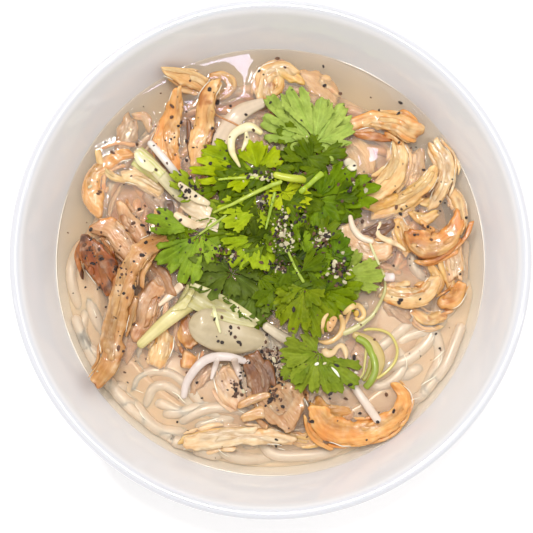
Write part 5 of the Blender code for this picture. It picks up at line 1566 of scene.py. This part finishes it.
# Thin skins laid over other pieces: one edge, the other edge, two colours, ribs across, lift.
SKINS = (
    (((-37.5, -18), (-33, -20.5), (-26, -23.5), (-17, -26.5), (-7, -28.5)),
     ((-31.5, -10), (-25, -12.5), (-17, -16.5), (-10, -21), (-4, -26)), (222, 214, 172), (204, 196, 134), 9, 0.25),
    (((-41, -22), (-38, -21.5), (-35, -21)), ((-34.5, -10.5), (-32, -10), (-30, -11)), (232, 222, 168),
     (212, 202, 132), 4, 0.5),
    (((-58.5, 40), (-53, 36), (-47, 31.5)), ((-53.5, 47), (-48.5, 42.5), (-43, 36)), (228, 222, 176),
     (206, 204, 120), 5, 0.4),
    (
        ((-38, 22), (-33, 18), (-26, 15)), ((-36, 27), (-30, 25), (-24, 21)), (240, 222, 190), (230, 206, 166), 4,
        0.3
    ),
    (
        ((-34, 12), (-28, 13), (-22, 11)), ((-33, 18), (-27, 18), (-21, 16)), (240, 226, 196), (226, 206, 166), 4,
        0.3
    ),
)


def skin_sheet(tree, first_edge, second_edge, main, second, ribs, lift, seed):
    """A thin ribbed skin stretched between two edges and lying on whatever is under it."""
    rows, across = 26, 15
    edges = []
    for edge in (first_edge, second_edge):
        line, at = smooth_line(edge, [1.0] * len(edge), 0.4)
        s = np.linspace(0, at[-1], rows)
        edges.append(np.stack(values_at(s, at, line[:, 0], line[:, 1]), axis=1))
    v = np.linspace(0, 1, across)
    wave = 0.08 * noise(np.arange(rows) * 1.0, 4.0, seed)[:, None] * np.sin(v * math.pi)[None, :]
    mix = np.clip(v[None, :] + wave, 0, 1)[..., None]
    flat = edges[0][:, None, :] * (1 - mix) + edges[1][:, None, :] * mix
    z = np.array([[max(LEVEL - 0.2, min(drop(tree, x, y) or LEVEL, SKIN_CEILING)) for x, y in row] for row in flat])
    for _ in range(5):
        padded = np.pad(z, 1, mode="edge")
        mean = (padded[:-2, 1:-1] + padded[2:, 1:-1] + padded[1:-1, :-2] + padded[1:-1, 2:]) / 4
        z = np.maximum(z, mean) * 0.5 + mean * 0.5
    stripe = np.cos(v * ribs * 2 * math.pi + 0.6 * np.sin(np.arange(rows) * 0.35)[:, None])
    z = z + lift + 0.07 * stripe
    fine = noise(
        np.stack([np.repeat(np.arange(rows) * 0.35, across), np.tile(v * ribs * 3.1, rows)], axis=1), 1.0, seed + 1
    ).reshape(z.shape)
    rim = np.abs(v * 2 - 1)[None, :] ** 6
    tone = 0.5 + 0.42 * stripe + 0.5 * fine + 0.5 * rim
    colour = blend(main, second, tone.ravel())
    thick = 0.42 * (1 - rim) + 0.10
    top = np.concatenate([flat, z[..., None]], axis=-1)
    low = np.concatenate([flat, (z - thick)[..., None]], axis=-1)[:, ::-1]
    rings = np.concatenate([top, low], axis=1)[:, ::-1]
    shades = colour.reshape(rows, across, 3)
    shades = np.concatenate([shades, shades[:, ::-1]], axis=1)[:, ::-1].reshape(-1, 3)
    verts, quads, tris = capped(rings)
    return verts, quads, tris, with_ends(shades)


def build_curls(under, juicy):
    """Thin sprouts, stems and onion skins that lie over the other pieces."""
    tree = joined_tree(under)
    heap = Heap()
    for k, (points, widths, thick, lift, look) in enumerate(CURLS.values()):
        line, at = smooth_line(points, widths, CURL_STEP)
        along = headings(line)
        z = np.full(len(line), LEVEL - 0.5)
        for side in (-0.4, 0.0, 0.4):
            for i, (x, y, w) in enumerate(line):
                found = drop(tree, x - along[i, 1] * w * side, y + along[i, 0] * w * side)
                if found is not None and found < CURL_CEILING:
                    z[i] = max(z[i], found)
        z = smoothed(np.maximum(z, smoothed(z, 6)), 5) + lift
        heap.add(
            *stalk_body(line, at, z - thick * 0.35, z + thick * 0.65, tones(look), 800 + 13 * k, 12, (0.8, 0.8))
        )
    for k, (first, second, main, other, ribs, lift) in enumerate(SKINS):
        heap.add(*skin_sheet(tree, first, second, linear(*main), linear(*other), ribs, lift, 700 + 9 * k))
    piece = heap.build("sprouts_thin", juicy)
    return piece


# Points, width, thickness, colour.
RINGS = (
    (((38.5, -29.6), (41.0, -29.0), (46.0, -29.5), (50.1, -31.8), (52.5, -37.2), (51.4, -42.6), (47.4, -47.1),
      (43.6, -49.6)),
     1.2, 1.2, (204, 190, 104)),
    (((35.4, -32.6), (39.2, -34.6), (41.7, -38.6), (43.1, -42.6), (43.1, -46.6), (41.3, -50.6), (38.9, -53.5)), 2.9,
     1.4, (138, 154, 44)),
    (((39.6, -36.4), (39.5, -39.4), (38.9, -43.9), (38.3, -47.4), (36.5, -49.8)), 1.0, 1.0, (200, 190, 108)),
    (((41.6, -41.0), (41.2, -44.5), (40.0, -48.0), (38.2, -50.6)), 1.9, 0.8, (150, 146, 52)),
)


def build_rings(under, juicy):
    """The thin scallion rings at the lower right."""
    tree = joined_tree(under)
    heap = Heap()
    for k, (points, wide, thick, tone) in enumerate(RINGS):
        colour = linear(*tone)
        line, at = smooth_line(points, [wide] * len(points), RING_STEP)
        z = np.array([max(LEVEL - 0.3, min(drop(tree, x, y) or LEVEL, LEVEL + 4)) for x, y, _ in line])
        z = smoothed(z, 6)
        heap.add(
            *stalk_body(
                line, at, z - thick * 0.3, z + thick * 0.7, (colour, colour * 1.25, 0.6), 900 + k, 14, (0.6, 0.6)
            )
        )
    piece = heap.build("scallion_rings", juicy)
    return piece


# ------------------------------------------------------------------ pepper and other small things


def ball(radius, seed, squash=1.0, rings=4, corners=6):
    """A small uneven grain."""
    rows = []
    for a in np.linspace(0.25, math.pi - 0.25, rings):
        t = np.linspace(0, 2 * math.pi, corners, endpoint=False)
        rows.append(np.stack([np.sin(a) * np.cos(t), np.sin(a) * np.sin(t), np.full(corners, -np.cos(a))], axis=1))
    verts, quads, tris = capped(np.array(rows))
    jag = 1 + 0.42 * noise(verts, 0.7, seed)
    verts = verts * jag[:, None] * radius
    verts[:, 2] *= squash
    return verts, quads, tris


# Middle, reach to both sides, how many, share of black.
PEPPER_CLUSTERS = (
    (5, 9, 4.5, 6, 90, 0.45), (21, 8, 3.6, 3.6, 70, 0.5), (28, -5, 4.5, 4.0, 80, 0.72), (5, 17, 3.0, 4.0, 36, 0.7),
    (0, -46, 4.5, 9.0, 170, 0.9), (-5, -44, 6.0, 4.0, 90, 0.95), (-64, -8, 8.0, 10.0, 22, 1.0),
    (-30, 6, 5.0, 5.0, 12, 1.0), (60, 14, 12.0, 14.0, 26, 1.0), (1, -57, 2.6, 4.0, 40, 0.9),
    (-18, 1, 5.0, 3.5, 50, 0.9), (4, -3, 4.5, 3.0, 40, 0.85), (-4, 35, 6.0, 2.2, 40, 0.55),
    (-16, -31, 9.0, 5.0, 10, 1.0), (-33, 29, 3.0, 3.0, 26, 0.95), (-2, 24, 2.0, 3.5, 26, 0.9),
    (13, 18, 2.4, 2.4, 16, 0.9), (-13, -52, 5.0, 4.0, 30, 0.95), (36, 30, 5.0, 8.0, 20, 0.95),
    (-50, 14, 8.0, 10.0, 26, 1.0), (-40, 48, 10.0, 16.0, 30, 1.0), (-72, 2, 4.0, 6.0, 24, 1.0),
    (-62, -24, 4.0, 12.0, 8, 1.0),
)


def scatter_pepper(surfaces, dark, cream):
    """Coarse ground pepper: loose specks all over and thick patches on the leaves and the meat."""
    tree = joined_tree(surfaces)
    rng = np.random.default_rng(77)
    spots = []
    for _ in range(LOOSE_SPECKS):
        r = LOOSE_REACH * math.sqrt(rng.random())
        a = rng.uniform(0, 2 * math.pi)
        spots.append((r * math.cos(a), r * math.sin(a), 0.24 + 0.62 * rng.random() ** 1.8, 0.95))
    for x, y, sx, sy, count, share in PEPPER_CLUSTERS:
        for _ in range(count):
            spots.append(
                (x + rng.normal() * sx * 0.6, y + rng.normal() * sy * 0.6, 0.24 + 0.60 * rng.random() ** 1.6, share)
            )
    heaps = (Heap(), Heap())
    for k, (x, y, r, share) in enumerate(spots):
        z = drop(tree, x, y)
        if z is None or z > PEPPER_CEILING:
            continue
        black = rng.random() < share
        v, q, t = ball(r * (1.0 if black else 1.15), k, rng.uniform(0.5, 0.8))
        turn = rng.uniform(0, math.pi)
        long = rng.uniform(1.0, 1.9)
        vx = v[:, 0] * long
        v = np.stack(
            [
                vx * math.cos(turn) - v[:, 1] * math.sin(turn), vx * math.sin(turn) + v[:, 1] * math.cos(turn),
                v[:, 2]
            ],
            axis=1
        )
        v = v + np.array([x, y, z + r * 0.25])
        if black:
            tone = linear(44, 30, 24) if rng.random() < 0.6 else linear(98, 66, 44)
        else:
            tone = linear(206, 196, 160)
        tone = tone * rng.uniform(0.7, 1.25)
        heaps[0 if black else 1].add(v, q, t, np.tile(tone, (len(v), 1)))
    heaps[0].build("pepper_black", dark, smooth=False)
    heaps[1].build("pepper_cream", cream, smooth=False)


# ------------------------------------------------------------------ light, floor and camera


# Name, place, aim, size, power, colour, and the second size where the lamp isn't square.
LAMPS = (
    ("overhead", (0.30, 0.05, 1.5), BOWL_MIDDLE, 0.7, 2.5, (1.0, 0.97, 0.93), None),
    ("key", (-0.30, 0.50, 1.25), BOWL_MIDDLE, 0.10, 5.0, (1.0, 0.965, 0.975), None),
    ("strip_right", (0.75, -0.10, 0.95), BOWL_MIDDLE, 0.04, 0.40, (1.0, 1.0, 0.94), 0.50),
    ("strip_left", (-0.75, -0.05, 0.95), BOWL_MIDDLE, 0.04, 0.12, (1.0, 1.0, 0.94), 0.50),
    # A window seen in the broth, and the bars of light beside it.
    ("window", (-0.046, 0.315, 1.08), (-0.017, 0.075, 0.056), 0.058, 0.24, (0.72, 0.71, 1.0), 0.050),
    ("window_bar", (-0.098, 0.256, 1.08), (-0.035, 0.056, 0.056), 0.012, 0.10, (0.72, 0.70, 1.0), 0.080),
    ("window_side", (0.133, 0.232, 1.15), (0.043, 0.042, 0.056), 0.010, 0.026, (0.70, 0.68, 1.0), 0.030),
    # A small lamp whose image in the flat broth lies under the leaves, so it shows only as glints on wet edges.
    ("lamp", (0.004, 0.142, 1.2), BROTH_MIDDLE, 0.035, 1.4, (1.0, 0.97, 0.86), None),
)


def build_stage():
    """A pale floor, soft light all round and the lamps."""
    scene = bpy.context.scene
    scene.view_settings.view_transform = "Standard"
    scene.view_settings.look = "None"
    scene.view_settings.exposure = 0.0
    mesh = bpy.data.meshes.new("floor")
    mesh.from_pydata([(-3, -3, 0), (3, -3, 0), (3, 3, 0), (-3, 3, 0)], [], [(0, 1, 2, 3)])
    floor = bpy.data.objects.new("floor", mesh)
    scene.collection.objects.link(floor)
    made, _, shader = nodes_of("pale_floor")
    set_inputs(shader, Base_Color=(0.92, 0.92, 0.92, 1), Roughness=0.8)
    set_inputs(shader, Emission_Color=(1, 1, 1, 1), Emission_Strength=0.18)
    mesh.materials.append(made)
    world = bpy.data.worlds.new("soft_room")
    scene.world = world
    world.use_nodes = True
    set_inputs(world.node_tree.nodes["Background"], Color=(1.0, 0.982, 0.985, 1), Strength=0.78)

    for name, place, aim, size, power, colour, size_y in LAMPS:
        light = bpy.data.lights.new(name, "AREA")
        light.energy, light.color, light.size = power, colour, size
        if size_y:
            light.shape = "RECTANGLE"
            light.size_y = size_y
        obj = bpy.data.objects.new(name, light)
        obj.location = place
        obj.rotation_mode = "QUATERNION"
        obj.rotation_quaternion = (Vector(aim) - Vector(place)).to_track_quat("-Z", "Y")
        scene.collection.objects.link(obj)


def build_camera():
    """The view of the photograph: from in front and nearly from above."""
    scene = bpy.context.scene
    data = bpy.data.cameras.new("camera")
    data.lens = LENS
    data.sensor_width = SENSOR
    cam = bpy.data.objects.new("camera", data)
    scene.collection.objects.link(cam)
    elevation = math.radians(CAMERA_ELEVATION)
    rim = Vector((0.0, 0.0, 0.078))
    back = Vector((0.0, -math.cos(elevation), math.sin(elevation)))
    aim = rim + Vector((-0.0016, -0.0048, 0))
    cam.location = aim + back * CAMERA_DISTANCE
    cam.rotation_mode = "QUATERNION"
    cam.rotation_quaternion = (-back).to_track_quat("-Z", "Y")
    scene.camera = cam


# ------------------------------------------------------------------ all together

build_stage()
build_camera()
meat = painted(
    "cooked_chicken", rough=0.24, coat=0.28, speck=0.24, speck_size=0.85, bump=0.9, bump_size=1.1, specular=0.5,
    flow=True, tint=(0.55, 1.0, 1.5), soft=0.35
)
leaf = painted(
    "coriander_leaf", rough=0.34, coat=0.0, speck=0.10, speck_size=1100.0, bump=0.30, bump_size=2000.0,
    specular=0.10
)
juicy = painted("stalk_flesh", rough=0.25, coat=0.35, speck=0.05, speck_size=500.0, bump=0.12, bump_size=900.0)
starch = painted(
    "noodle_flesh", rough=0.22, coat=0.4, speck=0.03, speck_size=350.0, bump=0.08, bump_size=500.0, soft=0.9,
    depth=0.0010
)
build_bowl()
shreds = build_chicken(meat)
leaves = build_leaves(leaf)
stalks = build_stalks(juicy)
wedge = build_wedge(juicy)
build_noodles(starch)
sunk = build_sunk(meat)
curls = build_curls(shreds + leaves + stalks + [wedge], juicy)
rings = build_rings(shreds + stalks, juicy)
# A near-white glossy coat for the painted highlight threads and the waterline.
highlight_coat = painted("painted_highlight_coat", rough=0.12, coat=1.0, speck=0.0, speck_size=500.0)
build_painted_glints(highlight_coat)
build_waterline(highlight_coat)
broth = build_broth(shreds + stalks + [wedge, curls, rings, sunk] + leaves)
dark = painted("pepper_shell", rough=0.55, coat=0.1, speck=0.3, speck_size=1500.0)
cream = painted("pepper_heart", rough=0.6, coat=0.0, speck=0.15, speck_size=1500.0)
scatter_pepper(shreds + leaves + stalks + [wedge, broth, curls], dark, cream)
